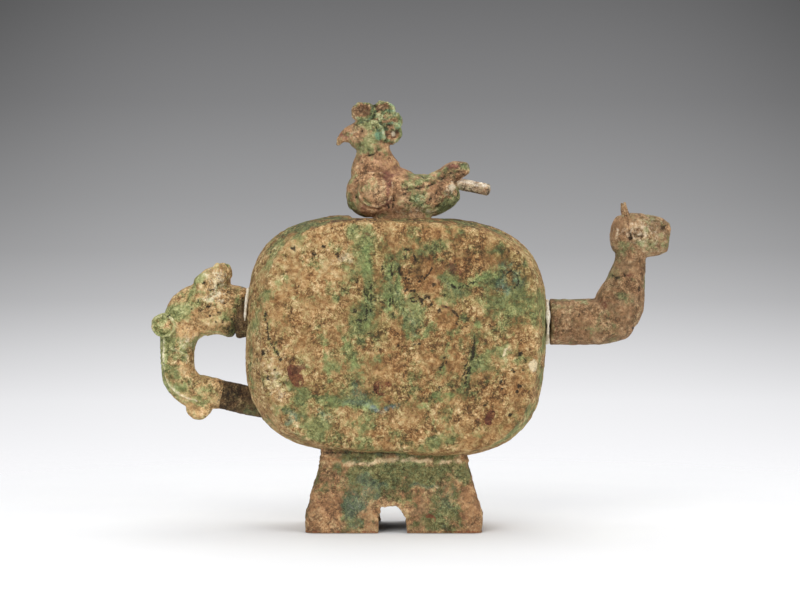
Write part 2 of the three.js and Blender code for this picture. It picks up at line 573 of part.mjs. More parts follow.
function birdHead() {
  const neck = limb(
    [
      [NECK_BASE_X + 1, LID_BASE + BIRD_HEIGHT * 0.7, BIRD_LENGTH * 0.216, BIRD_WIDTH * 0.4],
      [NECK_BASE_X, LID_BASE + BIRD_HEIGHT * 1.13, BIRD_LENGTH * 0.196, BIRD_WIDTH * 0.33],
      [NECK_BASE_X - 0.6, LID_BASE + BIRD_NECK_RISE, BIRD_HEAD_RADIUS * 0.945, BIRD_HEAD_RADIUS * 0.84],
      [HEAD_X, HEAD_Z - 1.4, BIRD_HEAD_RADIUS, BIRD_HEAD_RADIUS * 0.86],
      [HEAD_X + 0.4, HEAD_Z + 2.6, BIRD_HEAD_RADIUS * 0.9, BIRD_HEAD_RADIUS * 0.8],
    ],
    { steps: 8, sides: 18, domeEnd: BIRD_HEAD_RADIUS * 0.5 },
  );
  const beakRoot = HEAD_X - BIRD_HEAD_RADIUS;
  const beak = limb(
    [
      [beakRoot + 4, HEAD_Z + 0.6, 4, 4],
      [beakRoot - BEAK_LENGTH * 0.2, HEAD_Z - 0.6, 3.4, 3],
      [beakRoot - BEAK_LENGTH * 0.74, HEAD_Z - 2.4, 2, 1.5],
      [beakRoot - BEAK_LENGTH, HEAD_Z - 4.8, 0.9, 0.8],
    ],
    { steps: 6, sides: 12, domeEnd: 0.6 },
  );
  return union(neck, beak);
}

// The crest: round lobes set in a fan over and behind the head, on a thin web.
function birdCrest() {
  const [fanStart, fanEnd] = [108, -10].map(THREE.MathUtils.degToRad);
  const lobes = Array.from({ length: CREST_LOBES }, (_, i) => {
    const angle = fanStart + ((fanEnd - fanStart) * i) / (CREST_LOBES - 1);
    const [x, z] = [HEAD_X + CREST_BACK * Math.cos(angle), HEAD_Z + CREST_RISE * Math.sin(angle)];
    return crossBar(x, z, CREST_LOBE_RADIUS, CREST_DEPTH, 16);
  });
  const web = crossBar(0, 0, CREST_BACK * 0.96, CREST_DEPTH * 0.8, 28).scale([1, 1, CREST_RISE / CREST_BACK]);
  return union(web.translate([HEAD_X, 0, HEAD_Z]), ...lobes);
}

function birdTail() {
  return limb(
    [
      [BREAST_X + 0.694 * BIRD_LENGTH, LID_BASE + 0.66 * BIRD_HEIGHT, BIRD_HEIGHT * 0.253, BIRD_WIDTH * 0.3],
      [BREAST_X + 0.837 * BIRD_LENGTH, LID_BASE + 0.88 * BIRD_HEIGHT, BIRD_HEIGHT * 0.242, BIRD_WIDTH * 0.27],
      [BREAST_X + 0.967 * BIRD_LENGTH, LID_BASE + 1.01 * BIRD_HEIGHT, BIRD_HEIGHT * 0.209, BIRD_WIDTH * 0.24],
    ],
    { steps: 5, sides: 14, domeStart: 2, domeEnd: 2.8 },
  );
}

function pegBar(grow = 0) {
  const radius = PEG_RADIUS + grow;
  const rod = solid(new THREE.CylinderGeometry(radius, radius, PEG_LENGTH + 2 * grow, 16).rotateZ(Math.PI / 2));
  const middle = TAIL_X - PEG_IN_TAIL + PEG_LENGTH / 2;
  return rod.rotate([0, PEG_SLOPE, 0]).translate([middle, 0, LID_BASE + 0.626 * BIRD_HEIGHT]);
}

function birdLid() {
  const spigotBottom = SEAT_TOP - LID_SPIGOT_DEPTH;
  const spigot = upright(mouthShape(-LID_CLEARANCE), spigotBottom, LID_BASE + 2);
  const spigotInside = mouthShape(-LID_CLEARANCE - LID_SPIGOT_WALL);
  const cavity = upright(spigotInside, spigotBottom - 1, LID_BASE + LID_CAVITY_HEIGHT);
  const parts = [birdTrunk(), birdHead(), birdCrest(), birdTail(), spigot.translate([MOUTH_OFFSET, 0, 0])];
  for (const side of [-1, 1]) {
    const ring = new THREE.TorusGeometry(WING_RING_RADIUS, WING_RING_WIRE, 6, 20).rotateX(Math.PI / 2);
    const wingAt = [BREAST_X + 0.253 * BIRD_LENGTH, side * BIRD_WIDTH * 0.468, LID_BASE + BIRD_HEIGHT * 0.6];
    parts.push(solid(ring).translate(wingAt));
  }
  return cut(union(...parts), cavity.translate([MOUTH_OFFSET, 0, 0]), pegBar(JOINT_GAP));
}

const vessel = new THREE.Group();
vessel.add(
  named("vessel_body", vesselBody(), BRONZE),
  named("foot_ring", footRing(), GREEN_BRONZE),
  ...SPACERS.map((place) => named(place.name, spacer(place), BROWN_BRONZE)),
  named("spout", spout(), BROWN_BRONZE),
  named("spout_seam_fill", spoutSeamFill(), FILLER),
  named("handle", handle(), GREEN_BRONZE),
  named("handle_clay_core", clayCore(), CLAY),
  named("handle_upper_tenon", upperTenon(), DARK_BRONZE),
  named("handle_lower_tenon", lowerTenon(), DARK_BRONZE),
  named("handle_seam_fill", handleSeamFill(), FILLER),
  named("bird_lid", birdLid(), BRONZE),
  named("lid_tail_peg", pegBar(0), BROWN_BRONZE),
);
vessel.position.x = (HANDLE_REACH - WALL_LEFT - MUZZLE) / 2; // the part's origin is under its middle

export default vessel;
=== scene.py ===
import math

import bpy
import numpy as np
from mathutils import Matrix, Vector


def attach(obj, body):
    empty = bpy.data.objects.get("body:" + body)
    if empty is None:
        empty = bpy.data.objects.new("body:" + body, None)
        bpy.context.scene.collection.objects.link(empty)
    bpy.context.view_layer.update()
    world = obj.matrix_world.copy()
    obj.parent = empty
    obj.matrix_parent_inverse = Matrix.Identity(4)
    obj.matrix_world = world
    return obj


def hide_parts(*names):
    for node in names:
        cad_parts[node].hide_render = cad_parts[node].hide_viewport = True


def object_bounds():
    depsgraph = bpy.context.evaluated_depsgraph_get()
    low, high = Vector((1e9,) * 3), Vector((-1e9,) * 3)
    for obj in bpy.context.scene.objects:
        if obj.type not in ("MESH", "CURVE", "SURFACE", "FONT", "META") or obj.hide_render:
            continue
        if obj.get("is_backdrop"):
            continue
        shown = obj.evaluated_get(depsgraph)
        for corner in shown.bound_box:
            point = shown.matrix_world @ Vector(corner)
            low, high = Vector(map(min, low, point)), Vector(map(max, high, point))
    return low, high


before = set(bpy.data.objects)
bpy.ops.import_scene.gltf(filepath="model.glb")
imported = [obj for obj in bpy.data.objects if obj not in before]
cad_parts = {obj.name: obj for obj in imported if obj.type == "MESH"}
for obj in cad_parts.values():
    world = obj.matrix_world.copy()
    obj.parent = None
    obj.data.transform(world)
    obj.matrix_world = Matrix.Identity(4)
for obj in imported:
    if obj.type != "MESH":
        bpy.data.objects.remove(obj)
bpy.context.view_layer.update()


# The studio: a white table that runs back into a sweep of grey paper, darker towards the top. A long lens looks
# level at the vessel's broad side. Three softboxes before and over it, one behind and the pale room light it evenly.
LENS_PLACE = (-0.0044, -0.889, 0.109)
LENS_LENGTH, LENS_DIP = 100, 1.17
LIGHTS_AIM = (0, 0, 0.08)
SWEEP_GREYS = (  # by the rise of the line of sight
    (-0.1, 0.96), (-0.088, 0.94), (-0.065, 0.87), (-0.043, 0.71), (-0.02, 0.52), (0.002, 0.405), (0.025, 0.335),
    (0.069, 0.228), (0.114, 0.158),
)
SWEEP_LOW, SWEEP_SPAN = -0.1, 0.214
ROOM_LIGHT = 0.42
TABLE_RADIUS = 1.6
TABLE_FADES = (60, 420)  # where the table gives way to the paper, in millimetres from the vessel
SOFTBOXES = (  # place, width, watts
    ((-0.42, -0.95, 0.72), 0.75, 6.2),
    ((0.1, 0.12, 0.98), 0.9, 4.9),
    ((0.85, -0.75, 0.4), 0.6, 3.8),
    ((-0.2, 0.8, 0.82), 0.7, 1.8),
)

camera = bpy.data.objects.new("camera", bpy.data.cameras.new("camera"))
camera.data.lens, camera.data.sensor_width = LENS_LENGTH, 36
camera.location = LENS_PLACE
camera.rotation_euler = (math.radians(90 - LENS_DIP), 0, 0)
bpy.context.scene.collection.objects.link(camera)
bpy.context.scene.camera = camera
bpy.context.scene.view_settings.view_transform = "Standard"

for number, (place, width, watts) in enumerate(SOFTBOXES):
    lamp = bpy.data.lights.new(f"softbox_{number}", "AREA")
    lamp.shape, lamp.size, lamp.energy = "SQUARE", width, watts
    holder = bpy.data.objects.new(lamp.name, lamp)
    holder.location = place
    aim = np.array(LIGHTS_AIM) - np.array(place)
    holder.rotation_euler = (-math.acos(-aim[2] / np.linalg.norm(aim)), 0, math.atan2(aim[0], -aim[1]))
    bpy.context.scene.collection.objects.link(holder)


class Tone:
    """A number that changes over a surface, held as the socket it comes from. Arithmetic on it adds Math nodes."""

    def __init__(self, finish, socket):
        self.finish, self.socket = finish, socket

    def _math(self, operation, first, second):
        return self.finish.tone("ShaderNodeMath", {"operation": operation}, {0: first, 1: second})

    def __add__(self, other): return self._math("ADD", self, other)
    def __radd__(self, other): return self._math("ADD", other, self)
    def __sub__(self, other): return self._math("SUBTRACT", self, other)
    def __rsub__(self, other): return self._math("SUBTRACT", other, self)
    def __mul__(self, other): return self._math("MULTIPLY", self, other)
    def __rmul__(self, other): return self._math("MULTIPLY", other, self)
    def __or__(self, other): return self._math("MAXIMUM", self, other)
    def __abs__(self): return self._math("ABSOLUTE", self, 0.0)

    def between(self, low, high):
        """0 up to low, 1 from high on, and an even S curve from one to the other."""
        sockets = {"Value": self, "From Min": low, "From Max": high}
        return self.finish.tone("ShaderNodeMapRange", {"interpolation_type": "SMOOTHSTEP"}, sockets)


class Finish:
    """The nodes of one material or of the room, with lengths on the surface in millimetres."""

    def __init__(self, owner):
        owner.use_nodes = True
        self.owner, self.tree = owner, owner.node_tree
        self.tree.nodes.clear()

    def add(self, kind, settings=(), sockets=()):
        """A node of that type: first its settings, then a value or a link for each of its sockets."""
        node = self.tree.nodes.new(kind)
        for name, value in dict(settings).items():
            if name != "stops":
                setattr(node, name, value)
                continue
            ramp = node.color_ramp.elements
            while len(ramp) < len(value):
                ramp.new(0.5)
            for stop, (where, colour) in zip(ramp, value):
                stop.position, stop.color = where, colour
        for name, value in dict(sockets).items():
            value = getattr(value, "socket", value)
            if isinstance(value, bpy.types.NodeSocket):
                self.tree.links.new(value, node.inputs[name])
            else:
                node.inputs[name].default_value = value
        return node

    def tone(self, kind, settings=(), sockets=(), output=0):
        return Tone(self, self.add(kind, settings, sockets).outputs[output])

    def skin(self, sockets, bumps=()):
        """The material's shader, with its bumps if it has any, led to the output. It gives back the material."""
        sockets = {"Specular IOR Level": 0.3, **sockets}
        if bumps:
            sockets["Normal"] = self.add("ShaderNodeBump", (), bumps).outputs[0]
        shade = self.add("ShaderNodeBsdfPrincipled", (), sockets)
        self.add("ShaderNodeOutputMaterial", (), {"Surface": shade.outputs[0]})
        return self.owner

    def place(self, shift=0.0, squeeze=(1, 1, 1)):
        """The point on the piece in millimetres, shifted so that two patterns don't fall on each other."""
        here = self.add("ShaderNodeTexCoord").outputs["Object"]
        sockets = {0: here, 1: tuple(1000 * factor for factor in squeeze), 2: (shift, 1.7 * shift, -shift)}
        return self.add("ShaderNodeVectorMath", {"operation": "MULTIPLY_ADD"}, sockets).outputs[0]

    def grain(self, size, detail, rough, shift, twist=0.0, squeeze=(1, 1, 1)):
        """Cloudy noise about 0.5 with clouds of that size, twisted into curls or squeezed into streaks."""
        sockets = {"Vector": self.place(shift, squeeze), "Scale": 1 / size, "Detail": detail, "Roughness": rough,
                   "Distortion": twist}
        return self.tone("ShaderNodeTexNoise", (), sockets)

    def mark(self, name):
        """What the piece's own points carry under that name."""
        return self.tone("ShaderNodeAttribute", {"attribute_name": name}, (), "Fac")

    def ramp(self, tone, stops):
        return self.add("ShaderNodeValToRGB", {"stops": stops}, {"Fac": tone}).outputs["Color"]

    def over(self, cover, under, upper):
        """One colour laid over another as far as it covers."""
        return self.add("ShaderNodeMix", {"data_type": "RGBA"}, {0: cover, 6: under, 7: upper}).outputs[2]

    def glazed(self, colour, glaze, amount):
        """A colour as seen under a glaze of another, which takes away that share of what the glaze isn't."""
        sockets = {0: amount, 6: colour, 7: glaze}
        return self.add("ShaderNodeMix", {"data_type": "RGBA", "blend_type": "MULTIPLY"}, sockets).outputs[2]

    def scaled(self, colour, tone):
        """A colour made lighter or darker by a number."""
        node = self.add("ShaderNodeVectorMath", {"operation": "SCALE"}, {0: colour, "Scale": tone})
        return node.outputs[0]


def pigment(code):
    """A colour written as in paint charts, two hexadecimal digits each for red, green and blue."""
    parts = [int(code[i:i + 2], 16) / 255 for i in (0, 2, 4)]
    return (*(p / 12.92 if p <= 0.04045 else ((p + 0.055) / 1.055) ** 2.4 for p in parts), 1)


room = bpy.data.worlds.new("room")
bpy.context.scene.world = room
paper = Finish(room)
ray = paper.add("ShaderNodeLightPath").outputs
seen = Tone(paper, ray["Is Camera Ray"]) | Tone(paper, ray["Is Glossy Ray"]) | Tone(paper, ray["Is Transmission Ray"])
heading = paper.add("ShaderNodeSeparateXYZ", (), {0: paper.add("ShaderNodeTexCoord").outputs["Generated"]}).outputs
rise = (Tone(paper, heading["Z"]) - SWEEP_LOW) * (1 / SWEEP_SPAN)
aside = Tone(paper, heading["X"])
sweep = paper.ramp(rise, [((z - SWEEP_LOW) / SWEEP_SPAN, (g, g, g * 1.02, 1)) for z, g in SWEEP_GREYS])
# The backdrop gets darker towards its sides as it rises: painted shade at the corners of the sweep.
backdrop_corner_shade = 1 - (aside * aside).between(0.0, 0.045) * (rise * 0.45)
backdrop = paper.add("ShaderNodeBackground", (), {"Color": paper.scaled(sweep, backdrop_corner_shade), "Strength": 1.0})
air = paper.add("ShaderNodeBackground", (), {"Color": (0.97, 0.985, 1, 1), "Strength": ROOM_LIGHT})
mixed = paper.add("ShaderNodeMixShader", (), {0: seen, 1: air.outputs[0], 2: backdrop.outputs[0]})
paper.add("ShaderNodeOutputWorld", (), {"Surface": mixed.outputs[0]})

turn = np.linspace(0, 2 * math.pi, 64, endpoint=False)
table = bpy.data.meshes.new("table")
table.from_pydata([(TABLE_RADIUS * math.cos(a), TABLE_RADIUS * math.sin(a), -0.0002) for a in turn], [], [range(64)])
floor = bpy.data.objects.new("table", table)
bpy.context.scene.collection.objects.link(floor)
white = Finish(bpy.data.materials.new("white table"))
reach = white.tone("ShaderNodeVectorMath", {"operation": "LENGTH"}, {0: white.place()}, "Value")
gone = reach.between(*TABLE_FADES) * Tone(white, white.add("ShaderNodeLightPath").outputs["Is Camera Ray"])
board = white.add("ShaderNodeBsdfPrincipled", (), {
    "Base Color": white.ramp(white.grain(60, 2, 0.5, 3), [(0.3, pigment("F3F3F4")), (0.7, pigment("F6F6F6"))]),
    "Roughness": 0.9, "Specular IOR Level": 0.0,
})
clear = white.add("ShaderNodeBsdfTransparent")
mixed = white.add("ShaderNodeMixShader", (), {0: gone, 1: board.outputs[0], 2: clear.outputs[0]})
white.add("ShaderNodeOutputMaterial", (), {"Surface": mixed.outputs[0]})
table.materials.append(white.owner)
floor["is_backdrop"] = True


# The vessel's body: a flat hollow drum, cast in bronze, whose outline is a rounded oblong and whose band bulges
# between two flat faces. Worn scrolls are cast into both faces. Long burial has left a crumbly earth crust over
# green and teal corrosion, with dark pits. The mouth is cut through a flat land in the top of the band.
MIDDLE_X, MIDDLE_Z = -6.05, 76.7
HALF_WIDTH, HALF_HEIGHT, HALF_DEPTH = 60.3, 48.4, 22.0
OUTLINE_POWER = 3.26
LEAN = math.radians(2.3)
WAIST_SIDES, WAIST_TOP = 5.4, 2.7  # how much the band stands out over the faces
FACE_SHIFT = 1.4  # towards the spout
EDGE, WALL = 3.2, 2.4
LAND_TOP, LAND_START, LAND_END = 123.5, -24.05, 33.95
MOUTH_X, MOUTH_SIZE = -3.45, (12.0, 7.5, 3.0)  # half width, half depth and corner
COLLAR_DEPTH, COLLAR_WIDTH = 5.0, 2.6
FACE_COLUMNS, FACE_ROWS, CHAMBER_RINGS = 200, 150, 24


def chance(cell, seed):
    """A number from 0 to 1 for each whole-numbered cell: the bits of its three coordinates, well mixed."""
    cell = cell.astype(np.uint64)
    mixed = cell[:, 0] * 73856093 + cell[:, 1] * 19349663 + cell[:, 2] * 83492791 + np.uint64(seed * 6542989 + 17)
    mixed = mixed & 0xFFFFFFFF
    mixed = ((mixed ^ (mixed >> np.uint64(15))) * 2246822519) & 0xFFFFFFFF
    mixed = ((mixed ^ (mixed >> np.uint64(13))) * 3266489917) & 0xFFFFFFFF
    return ((mixed ^ (mixed >> np.uint64(16))) & 0xFFFFFF) / float(0xFFFFFF)


def swell(points, grain, seed):
    """Smooth noise from -1 to 1: a chance height at each corner of a lattice of that grain, eased in between."""
    at = points / grain + 0.31 * seed
    corner = np.floor(at).astype(np.int64)
    share = at - corner
    share = share * share * (3 - 2 * share)
    total = 0
    for step in np.ndindex(2, 2, 2):
        total = total + np.where(step, share, 1 - share).prod(axis=1) * chance(corner + step, seed)
    return 2 * total - 1


def crumble(points, grain, seed, layers=4, fall=0.6):
    """Rough noise, about -1 to 1: swells of half the grain and a little over half the height each time, added up."""
    heights = [fall ** k for k in range(layers)]
    total = sum(h * swell(points, grain / 2 ** k, seed + k) for k, h in enumerate(heights))
    return total / math.sqrt(sum(h * h for h in heights)) * 1.4


def pocks(points, spacing, radius, share, seed):
    """Round pits, 1 deep at the middle and 0 outside. Each lattice cell holds a pit at a chance place, or none."""
    cell = np.floor(points / spacing).astype(np.int64)
    deep = np.zeros(len(points))
    for step in np.ndindex(3, 3, 3):
        near = cell + step - 1
        centre = (near + 0.1 + 0.8 * np.stack([chance(near, seed + k) for k in (1, 2, 3)], axis=1)) * spacing
        size = radius * (0.5 + chance(near, seed + 4))
        away = ((points - centre) ** 2).sum(axis=1) / size ** 2
        deep = np.maximum(deep, (chance(near, seed) < share) * np.clip(1 - away, 0, 1))
    return deep


def eased(value, low, high):
    """0 up to low, 1 from high on, and an S curve between."""
    share = np.clip((value - low) / (high - low), 0, 1)
    return share * share * (3 - 2 * share)


def hump(away, width):
    """A bell of that width round 0."""
    return np.exp(-(away / width) ** 2)


def smooth_run(knots, count):
    """A Catmull-Rom curve: between two knots a cubic whose slope at each is that of the line past its neighbours.
    It is then cut into equal lengths, measured on the first two columns."""
    knots = np.asarray(knots, float)
    held = np.vstack([2 * knots[0] - knots[1], knots, 2 * knots[-1] - knots[-2]])
    along = np.linspace(0, len(knots) - 1, 40 * len(knots))
    start = np.minimum(along.astype(int), len(knots) - 2)
    t = (along - start)[:, None]
    a, b, c, d = (held[start + k] for k in range(4))
    curve = 0.5 * (2 * b + (c - a) * t + (2 * a - 5 * b + 4 * c - d) * t ** 2 + (3 * b - a - 3 * c + d) * t ** 3)
    length = np.concatenate([[0], np.cumsum(np.hypot(*np.diff(curve[:, :2], axis=0).T))])
    wanted = np.linspace(0, length[-1], count)
    return np.stack([np.interp(wanted, length, column) for column in curve.T], axis=1)


def off_line(x, z, knots, reach=4.0):
    """How far each point is from a smooth line through the knots, as seen from the front, up to that reach."""
    line = smooth_run(knots, 8 * len(knots))
    low, high = line.min(axis=0) - reach, line.max(axis=0) + reach
    close = np.flatnonzero((x > low[0]) & (x < high[0]) & (z > low[1]) & (z < high[1]))
    px, pz = x[close], z[close]
    nearest = np.full(len(close), reach)
    for (x0, z0), (x1, z1) in zip(line[:-1], line[1:]):
        share = ((px - x0) * (x1 - x0) + (pz - z0) * (z1 - z0)) / ((x1 - x0) ** 2 + (z1 - z0) ** 2)
        share = np.clip(share, 0, 1)
        nearest = np.minimum(nearest, np.hypot(px - x0 - share * (x1 - x0), pz - z0 - share * (z1 - z0)))
    away = np.full(len(x), reach)
    away[close] = nearest
    return away


def spots(x, z, places):
    """Soft oval patches, each with its middle, half sizes and strength, added up."""
    return sum(amount * np.exp(-((x - px) / rx) ** 2 - ((z - pz) / rz) ** 2) for px, pz, rx, rz, amount in places)


def outward(points, faces):
    """Each point's normal: the crossed diagonals of the faces round it, added up and made one long."""
    a, b, c, d = (points[faces[:, k]] for k in range(4))
    across = np.cross(c - a, d - b)
    total = np.stack([
        sum(np.bincount(faces[:, k], across[:, axis], len(points)) for k in range(4)) for axis in range(3)
    ], axis=1)
    return total / np.maximum(np.linalg.norm(total, axis=1, keepdims=True), 1e-12)


def ragged(points, size, seed):
    """The points moved about by a rough noise, so that what is drawn over them gets ragged edges."""
    return points + size * np.stack([crumble(points, 3.4 * size, seed + k, 3) for k in range(3)], axis=1)


def surface(name, points, faces, marks=(), unit=0.001):
    """A mesh of four-cornered faces, in millimetres, where a repeated last corner makes a triangle. Each mark is a
    number for every point that the finish can read."""
    mesh = bpy.data.meshes.new(name)
    four = faces[:, 3] != faces[:, 2]
    corners = faces[np.column_stack([np.ones((len(faces), 3), bool), four])]
    sizes = 3 + four
    mesh.vertices.add(len(points))
    mesh.vertices.foreach_set("co", (points * unit).astype(np.float32).ravel())
    mesh.loops.add(len(corners))
    mesh.loops.foreach_set("vertex_index", corners.astype(np.int32))
    mesh.polygons.add(len(faces))
    mesh.polygons.foreach_set("loop_start", (np.cumsum(sizes) - sizes).astype(np.int32))
    mesh.update(calc_edges=True)
    mesh.shade_smooth()
    for mark, values in dict(marks).items():
        mesh.attributes.new(mark, "FLOAT", "POINT").data.foreach_set("value", values.astype(np.float32))
    return mesh


def piece(name, points, faces, marks, finish, body, slot, *nodes):
    """A finished piece: its mesh, its material, the body it rides on and the solids it stands for."""
    made = bpy.data.objects.new(name, surface(name, points, faces, marks))
    made.data.materials.append(finish)
    bpy.context.scene.collection.objects.link(made)
    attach(made, body)
    if nodes:
        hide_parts(*nodes)
    return made


def drum(angle, y, bulge, corner=0.0):
    """The drum's skin: a superellipse about its middle, at that angle, narrowed by its share of the bulge, pushed a
    little towards the spout with it, and leaned."""
    half_width = HALF_WIDTH - bulge * WAIST_SIDES - corner
    half_height = HALF_HEIGHT - bulge * WAIST_TOP - corner
    across, high = np.cos(angle), np.sin(angle)
    radius = abs(across / half_width) ** OUTLINE_POWER + abs(high / half_height) ** OUTLINE_POWER
    radius = radius ** (-1 / OUTLINE_POWER)
    x, z = radius * across + bulge * FACE_SHIFT, radius * high
    x, z = x * math.cos(LEAN) + z * math.sin(LEAN), z * math.cos(LEAN) - x * math.sin(LEAN)
    return np.stack(np.broadcast_arrays(MIDDLE_X + x, y, MIDDLE_Z + z), axis=-1)


def oblong_edge(x, y, half_width, half_depth, corner):
    """How far outside a rounded oblong each point is, below 0 inside, and which way leads out of it."""
    over_x, over_y = abs(x) - half_width + corner, abs(y) - half_depth + corner
    round_x, round_y = np.maximum(over_x, 0), np.maximum(over_y, 0)
    away = np.hypot(round_x, round_y) + np.minimum(np.maximum(over_x, over_y), 0) - corner
    flat = round_x + round_y <= 0
    out_x = np.where(flat, (over_x > over_y) * 1.0, round_x)
    out_y = np.where(flat, (over_x <= over_y) * 1.0, round_y)
    size = np.maximum(np.hypot(out_x, out_y), 1e-9)
    return away, np.sign(x) * out_x / size, np.sign(y) * out_y / size


def cut_out(faces, gone):
    """The faces that stay when some go, and the edges round the hole, each in its lost face's direction."""
    lost = faces[gone]
    edges = np.concatenate([lost[:, [k, (k + 1) % 4]] for k in range(4)])
    count = faces.max() + 1
    back = np.isin(edges[:, 0] * count + edges[:, 1], edges[:, 1] * count + edges[:, 0])
    return faces[~gone], edges[~back]


# The two faces are grids whose rows are squeezed into the outline, and rings of the band join their rims.
column, row = np.meshgrid(np.linspace(-1, 1, FACE_COLUMNS + 1), np.linspace(-1, 1, FACE_ROWS + 1), indexing="ij")
share = np.maximum(abs(column), abs(row)).ravel()
angle = np.arctan2((row * HALF_HEIGHT).ravel(), (column * HALF_WIDTH).ravel())
centre = drum(0.0, 0.0, 1.0, corner=EDGE) * 0.5 + drum(math.pi, 0.0, 1.0, corner=EDGE) * 0.5
face = centre + (drum(angle, 0.0, 1.0, corner=EDGE) - centre) * share[:, None]
number = np.arange(face.shape[0]).reshape(FACE_COLUMNS + 1, FACE_ROWS + 1)
rim = np.concatenate([number[:-1, 0], number[-1, :-1], number[:0:-1, -1], number[0, :0:-1]])
quarter = np.radians([90, 68, 45, 22])
steps = np.linspace(-1, 1, 38)
profile = [(-HALF_DEPTH + EDGE - EDGE * math.sin(a), 1.0, EDGE * (1 - math.cos(a))) for a in quarter[1:]]
profile += [((HALF_DEPTH - EDGE) * s, s * s, 0.0) for s in steps]
profile += [(-y, bulge, corner) for y, bulge, corner in profile[2::-1]]
rings = np.stack([drum(angle[rim], y, bulge, corner=corner) for y, bulge, corner in profile])
front, back = face + [0, -HALF_DEPTH, 0], face + [0, HALF_DEPTH, 0]
skin = np.vstack([front, rings.reshape(-1, 3), back])
first_back = len(front) + rings.shape[0] * rings.shape[1]
cells = np.stack([number[:-1, :-1], number[1:, :-1], number[1:, 1:], number[:-1, 1:]], axis=-1).reshape(-1, 4)
hoops = np.vstack([rim, len(front) + np.arange(rings.shape[0] * len(rim)).reshape(-1, len(rim)), first_back + rim])
after = np.roll(hoops, -1, axis=1)
band = np.stack([hoops[:-1], hoops[1:], after[1:], after[:-1]], axis=-1).reshape(-1, 4)
faces = np.vstack([cells, cells[:, ::-1] + first_back, band])

# The scrolls, as seen from the front: knots of each groove, its half width and its depth. Black is packed in them.
GROOVES = (
    (((-4.8, 103.8), (-4.3, 101.6), (-2.6, 99.9), (-1.0, 99.2)), 0.6, 0.5),
    (((-3.9, 94.0), (-1.1, 95.2), (1.6, 94.7)), 0.5, 0.4),
    (((-0.4, 91.6), (1.4, 92.7), (3.6, 91.8), (4.3, 89.6)), 0.55, 0.5),
    (((-0.5, 91.8), (0.6, 90.5), (3.0, 90.7)), 0.45, 0.4),
    (((7.0, 93.0), (7.5, 89.6)), 0.6, 0.5),
    (((8.2, 104.3), (6.2, 100.4), (4.5, 99.1), (3.2, 98.5)), 0.4, 0.35),
    (((-2.9, 111.0), (-0.7, 110.8), (1.0, 108.6), (1.5, 106.7)), 0.45, 0.35),
    (((-1.9, 109.6), (-3.0, 108.6), (-2.2, 107.5)), 0.4, 0.3),
    (((-11.1, 104.6), (-11.2, 100.2)), 0.45, 0.35),
    (((-7.4, 107.5), (-7.7, 101.0)), 0.45, 0.35),
    (((-8.2, 95.0), (-8.4, 88.5)), 0.42, 0.35),
    (((-7.1, 93.8), (-7.2, 90.5)), 0.42, 0.35),
    (((-18.1, 95.8), (-17.2, 89.6), (-17.9, 83.6)), 0.5, 0.45),
    (((-15.7, 98.4), (-15.6, 91.6), (-15.8, 86.6)), 0.5, 0.45),
    (((-4.0, 89.1), (-3.0, 87.8)), 0.4, 0.3),
    (((13.2, 99.2), (15.1, 97.1), (18.0, 96.1), (21.9, 97.1), (26.0, 99.2)), 0.6, 0.35),
    (((25.2, 78.4), (24.4, 74.0), (23.4, 67.3), (21.6, 61.9), (21.1, 58.4)), 0.42, 0.5),
    (((24.9, 73.6), (24.2, 68.3), (22.6, 62.6)), 0.42, 0.45),
    (((22.6, 71.4), (21.4, 65.4), (19.9, 60.2)), 0.36, 0.4),
    (((13.6, 70.6), (12.6, 67.8), (11.4, 63.7)), 0.42, 0.4),
    (((14.4, 69.4), (13.6, 67.0)), 0.4, 0.35),
    (((17.5, 82.6), (16.3, 79.4)), 0.42, 0.35),
    (((20.4, 81.6), (19.8, 79.9)), 0.35, 0.3),
    (((36.1, 100.4), (38.5, 102.5), (41.4, 100.6), (42.3, 97.6), (40.6, 96.0)), 0.55, 0.35),
    (((-56.8, 86.0), (-55.5, 76.0), (-51.0, 68.0)), 0.6, 0.25),
)
# Where the green comes through along the casting's lines: knots and half width.
GREEN_TRAILS = (
    (((-2.1, 86.0), (-2.1, 80.0), (0.2, 75.7), (4.9, 77.0), (7.5, 80.0), (9.5, 84.4)), 1.3),
    (((25.8, 81.0), (24.2, 70.0), (22.0, 60.0), (18.0, 56.0), (8.0, 53.0)), 1.8),
    (((20.4, 84.0), (16.5, 78.0), (13.4, 71.0), (11.0, 62.0)), 1.7),
    (((-9.0, 112.0), (-8.6, 95.0), (-8.6, 88.0)), 2.2),
    (((-17.6, 113.0), (-17.0, 95.0), (-18.0, 82.0)), 2.6),
    (((-5.5, 105.0), (-4.6, 94.0), (-3.6, 87.0)), 1.7),
    (((-47.0, 57.0), (-36.0, 53.0), (-24.0, 50.5), (-10.0, 49.5), (4.0, 50.5), (19.0, 55.0)), 1.5),
    (((-57.0, 87.0), (-55.5, 76.0), (-51.0, 68.0)), 1.8),
    (((-28.0, 80.0), (-25.0, 73.0), (-22.0, 66.0)), 1.4),
    (((-34.6, 76.0), (-33.6, 68.0), (-31.6, 60.0)), 1.3),
    (((12.0, 100.0), (20.0, 96.6), (27.0, 99.4), (34.0, 101.0)), 2.2),
)
